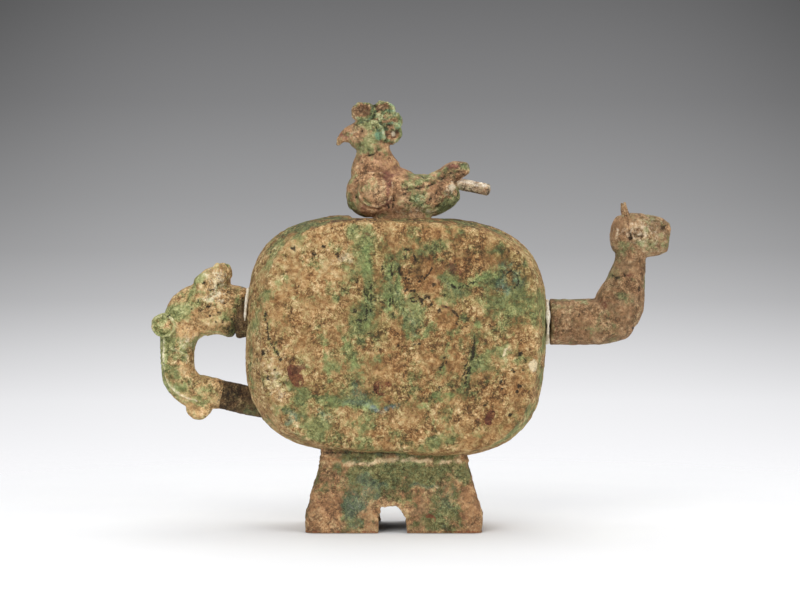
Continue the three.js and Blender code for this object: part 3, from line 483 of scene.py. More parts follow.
# Patches of the front face: middle, half sizes and strength.
GREEN_PATCHES = ((-18.5, 117, 4, 5, 0.6), (-18, 96, 6, 15, 0.42), (-8, 101, 5, 12, 0.45), (1, 109, 6, 6, 0.3),
                 (2, 90, 9, 5, 0.5), (16, 98, 8, 4.5, 0.45), (38, 101, 11, 7, 0.65), (40, 88, 11, 7, 0.62),
                 (41, 80, 10, 5, 0.5), (50, 84, 3, 12, 0.4), (12, 56, 10, 4, 0.3), (-16, 50, 15, 4.5, 0.45),
                 (-37, 56, 13, 5, 0.35), (-38, 43, 13, 7, 0.65), (-14, 36, 20, 4, 0.3), (18, 38, 16, 3, 0.25),
                 (44, 112, 12, 6, 0.3), (-35, 70, 5, 10, 0.2), (-21, 84, 5, 6, 0.35), (20, 113, 16, 5, 0.35),
                 (-3, 80, 6, 8, 0.25), (-53, 112, 6, 8, 0.25), (24, 68, 5, 12, 0.2), (30, 92, 8, 5, 0.25))
# Where the crust is darker.
DUSK_PATCHES = ((-17, 90, 9, 14, 0.9), (2, 106, 16, 9, 0.9), (38, 98, 14, 11, 0.8), (22, 110, 22, 8, 1.1),
                (24, 102, 14, 7, 0.6), (38, 80, 14, 8, 0.5), (4, 82, 10, 8, 0.3), (-14, 53, 20, 6, 0.8),
                (22, 66, 7, 14, 0.5), (32, 52, 16, 12, 0.7), (-40, 57, 12, 5, 0.5), (-14, 36, 22, 4, 0.4),
                (0, 70, 16, 10, 0.3), (14.4, 86.8, 5, 2.5, 0.8), (-9, 74, 12, 8, 0.3), (-52, 84, 8, 16, 0.3))
# Where it is warmer, orange to pinkish brown, or colder, olive to grey.
WARM_PATCHES = ((6.5, 97.5, 7, 4.5, 1.3), (21, 104, 10, 5, 1.2), (14.4, 86.8, 4, 2.5, 1.0), (15, 80, 6, 6, 0.8),
                (39, 58, 15, 16, 0.7), (-16, 88, 8, 12, -1.2), (-3, 38, 26, 6, 0.5), (-50, 75, 6, 12, 0.3),
                (8, 117, 16, 4, 0.8), (40, 97, 12, 10, -1.2), (-40, 57, 14, 5, -0.6), (26, 66, 4, 10, -0.6),
                (-8, 72, 10, 8, 0.6), (4, 64, 18, 6, 0.6), (-16, 107, 6, 7, -0.6), (-38, 98, 14, 16, 0.2),
                (-30, 112, 12, 6, 0.3))
TEAL_PATCHES = ((38, 101, 9, 6, 0.75), (34, 97, 2, 2, 0.6), (-14.4, 49.9, 5, 1.4, 1.4), (-6.6, 48.4, 5, 1.8, 1.3),
                (-22, 52.5, 8, 4, 0.8), (-6.5, 99, 2.4, 7, 0.4), (-47, 43, 5, 5, 0.9), (-33, 45, 5, 3, 0.6),
                (0, 82, 3, 8, 0.4),
                (24, 66, 2, 9, 0.35), (-2, 30.5, 22, 2.5, 0.5), (16, 97, 6, 2.5, 0.4), (-17, 88, 6, 10, 0.3))
PALE_PATCHES = ((-54, 60, 8, 16, 0.55), (-26, 107, 6, 5, 0.3), (-38, 104, 14, 12, 0.15), (6, 70, 8, 5, 0.3),
                (0, 38, 28, 3.5, 0.25), (41, 71, 1.4, 1.4, 1.0), (44, 52, 8, 12, 0.1), (-28, 86, 8, 10, 0.2))
RUST_PATCHES = ((-45, 62.5, 2.2, 3.6, 1.2), (-40.5, 58.5, 3, 2, 0.8), (-3.2, 54.5, 1.6, 1.5, 0.9),
                (30.7, 45.9, 1.7, 1.9, 1.1), (13.5, 103.5, 4, 3, 0.75), (-17.6, 115.4, 2.4, 2, 0.8),
                (2.8, 117, 3, 2.2, 0.7), (14.5, 87.4, 4, 2, 0.9), (-57, 71, 2.4, 2, 0.6), (8, 99, 4, 3, 0.35),
                (-12.5, 95, 2, 6, 0.45), (26, 92, 5, 3, 0.3), (-11, 76, 6, 5, 0.3), (18, 106, 12, 5, 0.3))
PITS = ((-46, 111.5, 1.5, 1), (-38, 109, 1.4, 1), (-34, 112, 1.1, 0.9), (-29, 109, 1.0, 0.8), (-59, 92, 1.3, 1.4),
        (-62, 85, 1.3, 1.2), (8.8, 97.4, 1.2, 1.0), (3.4, 100.4, 0.8, 0.6), (5.4, 92.3, 0.7, 0.7),
        (-7.2, 85.6, 1.0, 0.9), (-21.1, 98.6, 0.6, 0.8), (1.5, 73.7, 1.3, 0.9), (-5.1, 74.0, 0.6, 0.7),
        (3.6, 74.0, 0.4, 0.4), (-16.1, 78.1, 1.0, 0.5), (11.2, 87.4, 0.9, 1.3), (14.0, 88.3, 0.9, 0.7),
        (16.6, 86.6, 1.2, 0.7), (17.8, 85.2, 0.8, 0.6), (40.0, 63.4, 0.8, 0.8), (42.9, 70.2, 0.8, 0.8),
        (35.1, 59.0, 0.7, 0.6), (35.4, 56.6, 0.6, 0.6), (42.4, 57.5, 0.9, 0.8), (41.4, 55.6, 0.7, 0.6),
        (11.2, 57.1, 0.7, 0.7), (-58.5, 70.5, 1.7, 1.0), (-60, 78, 0.9, 0.9), (-56, 61, 1.0, 0.8),
        (38.8, 46.6, 0.9, 0.7), (29.0, 50.0, 0.6, 0.6), (-20.4, 83.0, 1.4, 0.6), (-22.0, 86.6, 0.8, 1.4))
CHIP = (47.9, 65.5, 2.5, 2.9)


def worn_face(x, z, points, seed):
    """The cast and corroded relief of one face: how deep its lines and pits are, how black, and how near a line of
    green. Noise wears each line away here and there."""
    warp_x, _, warp_z = (ragged(points, 0.4, seed + 60) - points).T
    deep, dark, trail = np.zeros((3, len(x)))
    worn = eased(crumble(points, 1.5, seed + 7, 2), -0.9, 0.15)
    for knots, width, depth in GROOVES:
        away = off_line(x + warp_x, z + warp_z, knots)
        deep = np.maximum(deep, worn * depth * hump(away, width * 1.4))
        dark = np.maximum(dark, worn * (0.55 + 0.7 * depth) * hump(away, width))
    for knots, width in GREEN_TRAILS:
        trail = np.maximum(trail, hump(off_line(x + 2 * warp_x, z + 2 * warp_z, knots), width))
    pit = scars(np.stack([x, points[:, 1], z], axis=1), PITS, seed)
    return np.maximum(deep, 0.45 * pit), np.maximum(dark, 0.8 * pit), trail


def scars(points, places, seed):
    """Ragged pits, 1 deep at each place (x, z, half width, half height)."""
    x, _, z = ragged(points, 0.5, seed + 30).T
    deep = np.zeros(len(points))
    for px, pz, wide, tall in places:
        deep = np.maximum(deep, hump(np.hypot((x - px) / wide, (z - pz) / tall), 1.1))
    return deep


def patch_marks(x, z, points, seed, patches):
    """Patches with ragged outlines: each point reads them from a little way off, by a rough noise."""
    warp_x = 3.5 * crumble(points, 8, seed + 40, 4)
    warp_z = 2.8 * crumble(points, 8, seed + 44, 4)
    return [spots(x + warp_x, z + warp_z, group) for group in patches]


x, y, z = skin.T
mirrored = 2 * MIDDLE_X - x + 2
on_front, on_back = eased(-y, 18, 21.5), eased(y, 18, 21.5)
deep, dark, trail = (on_front * f for f in worn_face(x, z, skin, 3))
deep_b, dark_b, trail_b = (on_back * f for f in worn_face(mirrored, z, skin, 29))
deep, dark, trail = np.maximum(deep, deep_b), np.maximum(dark, 0.7 * dark_b), np.maximum(trail, trail_b)
groups = (GREEN_PATCHES, TEAL_PATCHES, PALE_PATCHES, RUST_PATCHES, DUSK_PATCHES, WARM_PATCHES)
fronts = patch_marks(x, z, skin, 3, groups)
backs = patch_marks(mirrored + 9 * swell(skin, 30, 5), z, skin, 33, groups)
green, teal, pale, rust, dusk, warm = (on_front * f + on_back * b for f, b in zip(fronts, backs))
on_band = 1 - on_front - on_back
chip = hump(np.hypot((x - CHIP[0]) / CHIP[2], (z - CHIP[1]) / CHIP[3]), 1.0) ** 2 * on_front
green = 0.1 + 0.8 * green + 0.4 * trail + on_band * (
    0.14 + 0.2 * crumble(skin, 17, 9, 3) + 0.3 * spots(x, z, ((-38, 122, 16, 8, 1), (50, 90, 8, 20, 0.5)))) - chip
teal = 0.05 + teal + 0.15 * swell(skin, 14, 21)
# A pale, lighter line along the rims of both faces over their upper part: a painted highlight where the light from
# above catches the rounded edge.
rim_highlight = hump(abs(y) - HALF_DEPTH + 0.8, 0.9) * eased(z, 92, 108)
# On the band, the pale patches at its top and at its left end are partly the crust's own colour and partly painted
# light, where the lamps from above and from the left brighten the band.
pale = 0.15 + pale + 2 * chip + 0.2 * rim_highlight + on_band * (
    0.15 + 0.15 * spots(x, z, ((25, 125, 40, 8, 1), (-62, 70, 12, 30, 1))))
rust = rust + on_band * 0.4 * eased(crumble(skin, 8, 71, 3), 0.3, 1) - chip
bare = 0.4 + 0.4 * crumble(skin, 6.5, 12, 5) - green
cover = eased(bare, -0.2, 0.2)
lumps = crumble(skin, 3.6, 51, 4)
grit = crumble(skin, 1.5, 57, 2)
pitted = spots(x, z, ((38, 60, 16, 16, 1), (-54, 76, 8, 22, 0.9), (0, 62, 30, 10, 0.3), (0, 97, 16, 10, 0.4)))
uneven = ragged(skin, 0.45, 85)
pit = pocks(uneven, 3.6, 0.75, 0.08, 81) + pocks(uneven, 2.6, 0.65, 0.2, 83) * np.clip(pitted + on_back, 0, 1)
height = (0.34 * cover + 0.13 * lumps * (0.35 + 0.65 * cover) + 0.07 * grit * (0.3 + 0.7 * cover)
          + 0.25 * swell(skin, 22, 2) - deep - 0.5 * pit - 0.62)
near_mouth = eased(-oblong_edge(x - MOUTH_X, y, *MOUTH_SIZE)[0], -7, 0)
height = np.where(z > 110, height * (1 - 0.75 * near_mouth), height)
skin_out = outward(skin, faces)
skin = skin + skin_out * height[:, None]
skin[:, 1] = np.clip(skin[:, 1], -HALF_DEPTH, HALF_DEPTH)
on_land = eased(x, LAND_START - 1, LAND_START + 1) * eased(-x, -LAND_END - 1, -LAND_END + 1) * (z > 110)
level = LAND_TOP - 0.12 + 0.12 * np.clip(lumps, -1, 1) - 0.3 * pit
skin[:, 2] = np.where(skin[:, 2] > level, skin[:, 2] + (level - skin[:, 2]) * on_land, skin[:, 2])


def in_chamber(points):
    """Whether each point is inside the drum's inner skin: its superellipse, leaned, bulged and one wall smaller."""
    px, py, pz = points.T
    px, pz = px - MIDDLE_X, pz - MIDDLE_Z
    px, pz = px * math.cos(LEAN) - pz * math.sin(LEAN), pz * math.cos(LEAN) + px * math.sin(LEAN)
    bulge = np.minimum(abs(py) / (HALF_DEPTH - EDGE), 1) ** 2
    wide = HALF_WIDTH - WALL - bulge * WAIST_SIDES
    high = HALF_HEIGHT - WALL - bulge * WAIST_TOP
    within = abs((px - bulge * FACE_SHIFT) / wide) ** OUTLINE_POWER + abs(pz / high) ** OUTLINE_POWER < 1
    return within & (abs(py) < HALF_DEPTH - WALL)


# The mouth: faces inside its outline go, the edge is drawn onto the outline, and a collar leads down into the wine
# chamber. Its wall is found from inside: each ray from the middle is halved until it meets the drum's inner skin.
middles = skin[faces].mean(axis=1)
away = oblong_edge(middles[:, 0] - MOUTH_X, middles[:, 1], *MOUTH_SIZE)[0]
faces, lip = cut_out(faces, (away < 0) & (middles[:, 2] > 110))
lip_points, lip_index = np.unique(lip, return_inverse=True)
lip_index = lip_index.reshape(lip.shape)
for _ in range(3):
    away, out_x, out_y = oblong_edge(skin[lip_points, 0] - MOUTH_X, skin[lip_points, 1], *MOUTH_SIZE)
    skin[lip_points, 0] -= away * out_x
    skin[lip_points, 1] -= away * out_y
top = skin[lip_points]
_, out_x, out_y = oblong_edge(top[:, 0] - MOUTH_X, top[:, 1], *MOUTH_SIZE)
floor_z = LAND_TOP - COLLAR_DEPTH
tube = []
for share in (0.06, 0.3, 0.65, 1.0):
    ring = top.copy()
    ring[:, 2] = top[:, 2] + (floor_z - top[:, 2]) * share
    tube.append(ring)
for out, z_level in ((COLLAR_WIDTH * 0.5, floor_z - 0.2), (COLLAR_WIDTH, floor_z), (COLLAR_WIDTH + 0.2, floor_z + 2)):
    tube.append(np.stack([top[:, 0] + out * out_x, top[:, 1] + out * out_y, np.full(len(top), z_level)], axis=1))
heart = np.array([MOUTH_X, 0, MIDDLE_Z])
from_heart = tube[-1] - heart
around = np.arctan2(from_heart[:, 1], from_heart[:, 0])
tilt = np.arctan2(np.hypot(from_heart[:, 0], from_heart[:, 1]), from_heart[:, 2])
for share in np.linspace(0, 1, CHAMBER_RINGS + 2)[1:-1]:
    lean_out = tilt + (math.pi - tilt) * share
    way = np.stack([np.sin(lean_out) * np.cos(around), np.sin(lean_out) * np.sin(around), np.cos(lean_out)], axis=1)
    near, far = np.zeros(len(way)), np.full(len(way), 90.0)
    for _ in range(26):
        half = (near + far) / 2
        within = in_chamber(heart + way * half[:, None])
        near, far = np.where(within, half, near), np.where(within, far, half)
    tube.append(heart + way * near[:, None])
tube.append(np.tile(tube[-1].mean(axis=0), (len(top), 1)))
starts = np.vstack([lip_points] + [len(skin) + k * len(top) + np.arange(len(top)) for k in range(len(tube))])
lining = np.concatenate([
    np.stack([starts[k][lip_index[:, 0]], starts[k][lip_index[:, 1]],
              starts[k + 1][lip_index[:, 1]], starts[k + 1][lip_index[:, 0]]], axis=1)
    for k in range(len(tube))
])
inner = np.vstack(tube)
last = starts[-1]
lining = np.where(lining >= last[0], last[0], lining)
marks = {  # each on the skin, and its one value inside
    "green": (np.clip(0.5 - 1.2 * bare, 0, 1), 0.3),
    "teal": (teal, 0.2),
    "pale": (pale, 0.0),
    "rust": (rust, 0.3),
    "dark": (np.maximum(dark, 0.7 * np.minimum(pit, 1)) + 0.1 * np.minimum(pitted, 1), 0.25),
    # relief is lighter on the lumps and grit that also raise the skin: partly the crust's tone, partly painted light
    # on their tops and painted shade between them.
    "relief": (0.5 + 0.08 * lumps + 0.06 * grit - 0.15 * dusk + 0.05 * rim_highlight
               - 0.17 * on_band * eased(z, 112, 121), 0.3),
    "warm": (warm + 0.3 * swell(skin, 19, 45), 0.0),
    "fresh": (trail ** 2 * eased(crumble(skin, 2.4, 49, 4), -0.3, 0.9), 0.0),
}
marks = {name: np.append(outside, np.full(len(inner), within)) for name, (outside, within) in marks.items()}


def crusted(name, earth, greens, teals, cream, red, shift=0.0, lift=1.0, rough=1.0):
    """Buried bronze. Folded lumps and millimetre crumbs run from the dark of the crust's creases to its light tops,
    under a tint that curls from olive through tan and orange to mauve brown. That dark and light follows the same
    noises as the bumps and the relief mark, so it is partly the crust's own tone and partly painted shade in the
    creases and painted light on the tops. Where the crust thins, green shows in flecks and streaks, teal in it and
    light veins on it. Red-brown oxide and black pits break through."""
    coat = Finish(bpy.data.materials.new(name))
    relief, green, pale = coat.mark("relief") - 0.5, coat.mark("green"), coat.mark("pale")
    cloud = coat.grain(5.0, 5, 0.64, shift, 1.0) - 0.5
    folds = (abs(coat.grain(3.0, 5, 0.62, shift + 31, 0.5) - 0.5) * 7).between(0, 1) - 0.55
    crumbs = coat.grain(1.4, 5, 0.68, shift + 37, 0.6) - 0.5
    grit = coat.grain(0.55, 2, 0.7, shift + 47) - 0.5
    loose = coat.grain(9, 3, 0.6, shift + 61).between(0.4, 0.6) * (0.7 * rough) + 0.5 * rough
    # The level rises with the same noises that raise the bumps, and with the relief mark: the crust's own tone, with
    # painted light on the tops and painted shade in the creases.
    level = cloud * 0.66 + (folds * 0.18 + crumbs * 1.3 + grit * 0.8) * loose + relief + 0.5
    colour = coat.ramp(level, [(at, pigment(code)) for at, code in zip((0.1, 0.34, 0.52, 0.7, 0.92), earth)])
    tint = coat.ramp(coat.grain(4.5, 6, 0.72, shift + 13, 1.4) + coat.mark("warm") * 0.12, [
        (0.26, (0.72, 0.84, 0.7, 1)), (0.4, (0.88, 0.96, 0.72, 1)), (0.5, (1, 0.96, 0.87, 1)),
        (0.6, (1, 0.83, 0.62, 1)), (0.68, (0.96, 0.77, 0.66, 1)), (0.78, (0.74, 0.6, 0.56, 1))])
    colour = coat.glazed(colour, tint, 0.78)
    streak = coat.grain(1.3, 4, 0.62, shift + 53, 0.7, (1.5, 1, 0.5)) - 0.5
    flecks = (coat.grain(2.2, 6, 0.72, shift + 17, 1.0) - 0.5) * 1.7 + streak * 0.7 + (green - 0.5) * 0.9
    leaf = coat.ramp(level, [(at, pigment(code)) for at, code in zip((0.12, 0.4, 0.6, 0.9), greens)])
    sea = coat.ramp(level, [(at, pigment(code)) for at, code in zip((0.15, 0.5, 0.85), teals)])
    blue = coat.mark("teal")
    bluish = (coat.grain(2.8, 6, 0.72, shift + 29, 1.0) - 0.5) * 1.5 + (blue - 0.5) * 0.8
    leaf = coat.over(bluish.between(-0.15, 0.3) * 0.85, leaf, sea)
    leaf = coat.over((blue + crumbs).between(0.9, 1.4) * 0.65, leaf, coat.scaled(pigment("5E7686")[:3], level + 0.5))
    veins = 1 - (abs(coat.grain(2.6, 4, 0.6, shift + 59, 1.2) - 0.5) * 24).between(0, 1)
    leaf = coat.over(veins * green * 0.5, leaf, coat.scaled(pigment("93AE78")[:3], level + 0.5))
    leaf = coat.over(coat.mark("fresh") * (crumbs + 0.7), leaf, coat.scaled(pigment("829C5E")[:3], level + 0.5))
    colour = coat.over(flecks.between(-0.26, 0.34) * 0.84, colour, leaf)
    # Cream comes up most where the relief mark is high: pale crust, and painted light on the tops.
    peaks = (coat.grain(1.6, 4, 0.7, shift + 67, 0.5) - 0.5) * 1.6 + (pale - 0.5) * 0.9 + relief * 0.6
    colour = coat.over(peaks.between(0.0, 0.5) * 0.8, colour, coat.scaled(pigment(cream)[:3], level * 0.7 + 0.6))
    oxide = (coat.grain(2.0, 5, 0.7, shift + 41, 0.8) - 0.5) * 1.6 + (coat.mark("rust") - 0.5) * 0.9
    colour = coat.over(oxide.between(0.0, 0.34) * 0.75, colour, coat.scaled(pigment(red)[:3], level + 0.5))
    dark = coat.mark("dark")
    hole = ((coat.grain(0.8, 4, 0.66, shift + 43, 0.6) - 0.5) * (dark + 1.35) + dark).between(0.32, 0.6)
    colour = coat.over(hole * 0.92, coat.scaled(colour, lift), pigment("2B2318"))
    height = crumbs * 0.9 + grit * 0.3 + cloud * 0.6 + folds * 0.25 - hole * 0.3
    return coat.skin({"Base Color": colour, "Roughness": 0.85 - hole * 0.2 + crumbs * 0.3},
                     {"Strength": 0.75, "Distance": 0.001, "Height": height})


body_finish = crusted(
    "ochre and green burial crust", ("4A3826", "866542", "AE9167", "CBB48B", "E6D5B4"),
    ("3C4127", "626B40", "888D57", "B4B27E"), ("33493F", "507060", "82997F"), "E8D6B0", "6E4335", 0.0, 1.1,
)
piece("body", np.vstack([skin, inner]), np.vstack([faces, lining]), marks, body_finish, "vessel", "crusted_bronze",
      "vessel_body")


# The foot: a hollow flared box with rounded corners, cast by itself and joined to the body at a seam, which is
# darkened with painted shade under the drum. Its walls sweep out to a straight band at the floor, and a small arch
# with a crumbled edge is cut in the front and the back.
FOOT_X = -6.85
FOOT_TOP_HALF = (29.2, 15.5)  # half width and half depth
FOOT_CORNER, FOOT_WALL, FOOT_SPREAD = 4.0, 3.2, 5.6
FOOT_HEIGHT, FOOT_BAND = 28.3, 7.4
FOOT_COLUMNS, FOOT_ROWS = 352, 60
INTO_SEAM, HIGHEST_SEAM = 1.6, 33.2  # how far the walls run up behind the drum's skin, and where they end at most
ARCH_X, ARCH_HALF, ARCH_TOP = -7.2, 5.6, 10.4
FOOT_GREENS = ((-5, 25, 34, 8, 0.8), (-20.8, 10.8, 7, 7.5, 1.15), (10, 9, 10, 6, 0.25), (12, 18, 12, 9, 0.28),
               (-33, 10, 8, 13, -0.5), (-13.8, 7, 2.4, 8, -0.7), (-2.0, 7, 2.4, 8, -0.6), (27, 12, 5, 18, -0.5),
               (20, 16, 3, 8, 0.1), (4, 14, 4, 3, -0.3))
FOOT_TEALS = ((-20.8, 11, 7, 7, 0.8), (-16, 19, 6, 1.6, 0.5), (-8, 30.3, 26, 1.2, 0.6), (14, 12, 5, 8, 0.35),
              (-24, 27.0, 6, 1.6, 0.4), (4, 18, 5, 1.6, 0.5))
FOOT_RUSTS = ((6.5, 6.9, 1.4, 1.1, 1.2), (-1, 16, 2, 4, 0.5), (24, 12, 5, 8, 0.3), (-5, 20, 3, 2, 0.4))
# The pale line along the top of the ledge below the seam: a painted highlight.
LEDGE_HIGHLIGHT_LINE = ((-27.5, 26.2), (-22, 26.9), (-17, 26.6), (-12, 28.1), (-4, 28.7), (3, 27.9), (11, 27.4), (19, 28.3))
FOOT_PALES = ((8.5, 17.8, 2.2, 1.7, 0.9), (-30, 3, 8, 2.5, 0.3), (-15, 3, 5, 2, 0.4), (10, 1.5, 14, 1.5, 0.25),
              (22, 24, 4, 6, 0.25), (-27, 14, 5, 8, 0.15), (24, 8, 5, 8, 0.15))


def oblong_round(half_width, half_depth, corner, count):
    """Points round a rounded oblong at equal steps from the middle of its front, and which way leads out of each."""
    flat_x, flat_y, bend = half_width - corner, half_depth - corner, corner * math.pi / 2
    runs = np.cumsum([0, flat_x, bend, 2 * flat_y, bend, 2 * flat_x, bend, 2 * flat_y, bend, flat_x])
    at = np.linspace(0, runs[-1], count, endpoint=False)
    turn = np.interp(at, runs, np.radians([0, 0, 90, 90, 180, 180, 270, 270, 360, 360]))
    out = np.stack([np.sin(turn), -np.cos(turn)], axis=1)
    core_x = np.interp(at, runs, flat_x * np.array([0, 1, 1, 1, 1, -1, -1, -1, -1, 0]))
    core_y = np.interp(at, runs, flat_y * np.array([-1, -1, -1, 1, 1, 1, 1, -1, -1, -1]))
    return np.stack([core_x, core_y], axis=1) + corner * out, out


def under_drum(x, y):
    """The height of the drum's underside over a point of the foot, from its superellipse, bulge and lean."""
    bulge = np.minimum(abs(y) / (HALF_DEPTH - EDGE), 1) ** 2
    along = (x - MIDDLE_X + HALF_HEIGHT * math.sin(LEAN)) / math.cos(LEAN) - bulge * FACE_SHIFT
    share = np.minimum(abs(along) / (HALF_WIDTH - bulge * WAIST_SIDES), 0.999) ** OUTLINE_POWER
    down = (HALF_HEIGHT - bulge * WAIST_TOP) * (1 - share) ** (1 / OUTLINE_POWER)
    return MIDDLE_Z - down * math.cos(LEAN) - along * math.sin(LEAN)


around, out = oblong_round(*FOOT_TOP_HALF, FOOT_CORNER, FOOT_COLUMNS)
outer = np.zeros((FOOT_ROWS + 1, FOOT_COLUMNS, 3))
outer[:, :, :2] = around + [FOOT_X, 0]
wall_top = np.minimum(under_drum(outer[0, :, 0], outer[0, :, 1]) + INTO_SEAM, HIGHEST_SEAM)
outer[:, :, 2] = np.linspace(0, 1, FOOT_ROWS + 1)[:, None] * wall_top
spread = FOOT_SPREAD * np.clip((FOOT_HEIGHT - outer[:, :, 2]) / (FOOT_HEIGHT - FOOT_BAND), 0, 1) ** 1.25
flat = (around - FOOT_CORNER * out) / (np.array(FOOT_TOP_HALF) - FOOT_CORNER)
outer[:, :, :2] += spread[:, :, None] * flat
inside = outer.copy()
inside[:, :, :2] -= FOOT_WALL * out
index = np.arange((FOOT_ROWS + 1) * FOOT_COLUMNS).reshape(FOOT_ROWS + 1, -1)
after = np.roll(index, -1, axis=1)
cells = np.stack([index[:-1], after[:-1], after[1:], index[1:]], axis=-1).reshape(-1, 4)
outer, inside = outer.reshape(-1, 3), inside.reshape(-1, 3)


def arch_edge(x, z):
    """How far outside the arch a point is, roughly: a superellipse whose middle is on the floor, which narrows and
    leans to the handle's side as it rises."""
    across = (x - ARCH_X + 0.09 * z) / (ARCH_HALF * (1 - 0.15 * np.minimum(z / ARCH_TOP, 1)))
    return 2.2 * (abs(across) ** 4 + np.maximum(z / ARCH_TOP, 0) ** 4 - 1)


middles = outer[cells].mean(axis=1)
gone = (arch_edge(middles[:, 0], middles[:, 2]) < 0) & (abs(middles[:, 1]) > 10)
walls, arch = cut_out(cells, gone)
edge_points = np.unique(arch)
for _ in range(4):
    px, pz = outer[edge_points, 0], outer[edge_points, 2]
    away = arch_edge(px, pz)
    slope_x = (arch_edge(px + 0.05, pz) - away) / 0.05
    slope_z = (arch_edge(px, pz + 0.05) - away) / 0.05
    size = np.maximum(slope_x ** 2 + slope_z ** 2, 0.25)
    free = pz > 0.01
    for side in (outer, inside):
        side[edge_points, 0] -= np.clip(away * slope_x / size, -0.6, 0.6)
        side[edge_points, 2] -= np.clip(away * slope_z / size, -0.6, 0.6) * free
for side in (outer, inside):
    side[edge_points, 0] += 0.4 * crumble(outer[edge_points], 2.2, 95, 3) * np.sign(outer[edge_points, 0] - ARCH_X)
    side[edge_points, 2] += 0.4 * crumble(outer[edge_points], 2.2, 98, 3) * (outer[edge_points, 2] > 0.5)
points = np.vstack([outer, inside])
count = len(outer)
base_rim = np.stack([after[0], index[0]], axis=1)[~gone[:FOOT_COLUMNS]]
top_rim = np.stack([index[-1], after[-1]], axis=1)
arch = arch[(outer[arch, 2] > 0.01).any(axis=1)]
across = [np.stack([e[:, 0], e[:, 1], e[:, 1] + count, e[:, 0] + count], axis=1)
          for e in (base_rim[:, ::-1], top_rim[:, ::-1], arch)]
faces = np.vstack([walls, walls[:, ::-1] + count, *across])
x, y, z = points.T
front = y < 0
lumps, grit = crumble(points, 4.2, 111, 4), crumble(points, 1.4, 117, 2)
pit = pocks(points, 5, 1.0, 0.14, 121)
groups = (FOOT_GREENS, FOOT_TEALS, FOOT_RUSTS, FOOT_PALES)
green, teal, rust, pale = (np.where(front, a, b) for a, b in zip(
    patch_marks(x, z, points, 5, groups), patch_marks(2 * FOOT_X - x, z, points, 6, groups)))
green = 0.22 + green + 0.2 * swell(points, 16, 7) - 0.5 * hump(arch_edge(x, z), 1.6)
bare = 0.4 + 0.4 * crumble(points, 6, 14, 5) - green
cover = eased(bare, -0.2, 0.2)
wave = 0.6 * swell(points, 7, 31)
step = hump(z - 27.4 - wave, 0.6) * 0.4 - 0.45 * hump(z - 29.4 - wave, 0.8) - 0.25 * hump(z - 25.6 - wave, 0.6)
height = 0.2 * cover + 0.16 * lumps + 0.08 * grit - 0.5 * pit + step - 0.32
height = height + 0.4 * eased(abs(x - FOOT_X), 25, 30) * crumble(points, 3.4, 131, 3)
height = height * eased(z, -2, 2)
points = points + outward(points, faces) * height[:, None]
points[:, 2] = np.maximum(points[:, 2], 0)
inner_side = np.arange(len(points)) >= count
# Darker just under the drum, where the foot meets it, and along the front's bottom at the floor: painted shade in the
# gap and a painted contact shadow.
seam = 0.5 * hump(z - 31.0, 0.7) + 0.3 * hump(z - 0.4, 0.7) * front
# A pale, less green line along the top of the ledge on the front: a painted highlight where the light from above
# catches the ledge.
ledge_highlight = hump(off_line(x, z + 0.6 * crumble(points, 3, 145, 3), LEDGE_HIGHLIGHT_LINE), 1.1)
ledge_highlight = ledge_highlight * eased(crumble(points, 5, 141, 3), -0.9, 0.4) * (y < 0)
marks = {
    "green": np.where(inner_side, 0.1, np.clip(0.5 - 1.2 * bare - 0.7 * ledge_highlight, 0, 1)),
    "teal": 0.2 + teal, "rust": rust + 0.7 * hump(z - 0.4, 0.8), "pale": 0.15 + pale + 0.7 * ledge_highlight,
    "warm": 0.9 * spots(x, z, ((-33, 10, 8, 12, 1), (-1, 14, 5, 6, 1), (22, 14, 8, 14, 1)))
            + 0.3 * swell(points, 9, 19),
    # dark: the pits, the painted shade at the seam and at the floor, and painted shade over the whole inner side of
    # the hollow foot.
    "dark": np.max([0.7 * pit, seam, np.where(inner_side, 0.25, 0)], axis=0),
    # relief is lighter along the ledge's top, a painted highlight, and on the lumps, partly painted light.
    "relief": 0.5 + 0.09 * lumps + 0.06 * grit - 0.06 * np.minimum(green, 1) + 0.1 * hump(z - 27.4 - wave, 0.7)
              + 0.14 * ledge_highlight,
}
foot_finish = crusted(
    "olive and tan crust of the foot", ("4A3828", "7C6149", "A78564", "C4A681", "DEC6A2"),
    ("37391F", "565934", "777749", "9E996B"), ("33463B", "4C6352", "728870"), "DCC6A0", "80432F", 137.0, 1.06, 0.85,
)
piece("foot", points, faces, marks, foot_finish, "vessel", "green_bronze", "foot_ring")


# The spacers: small bronze plates that held the clay core off the mould. They have stayed flush in the faces, and
# have rusted to red and purple brown, each in a rim of their own colour.
SPACERS = {  # middle in shares of the drum's half sizes, half width, half height, lean and how red
    "left": (-0.648, -0.31, 2.7, 4.3, -0.42, 0.42),
    "middle": (-0.085, -0.41, 3.7, 3.1, 0.0, 0.3),
    "right": (0.61, -0.645, 1.9, 2.7, 0.25, 0.62),
}
PLATE_RINGS, PLATE_STEPS, PLATE_THICKNESS = 13, 48, 2.3


def facing_out(points, faces):
    """The faces of a closed surface, turned round if they face inwards: when the tetrahedra from the origin to each
    half face add up to less than nothing."""
    a, b, c, d = (points[faces[:, k]] for k in range(4))
    if (np.cross(a, b) * c).sum() + (np.cross(a, c) * d).sum() > 0:
        return faces
    return np.where((faces[:, 2] == faces[:, 3])[:, None], faces[:, [0, 2, 1, 1]], faces[:, ::-1])


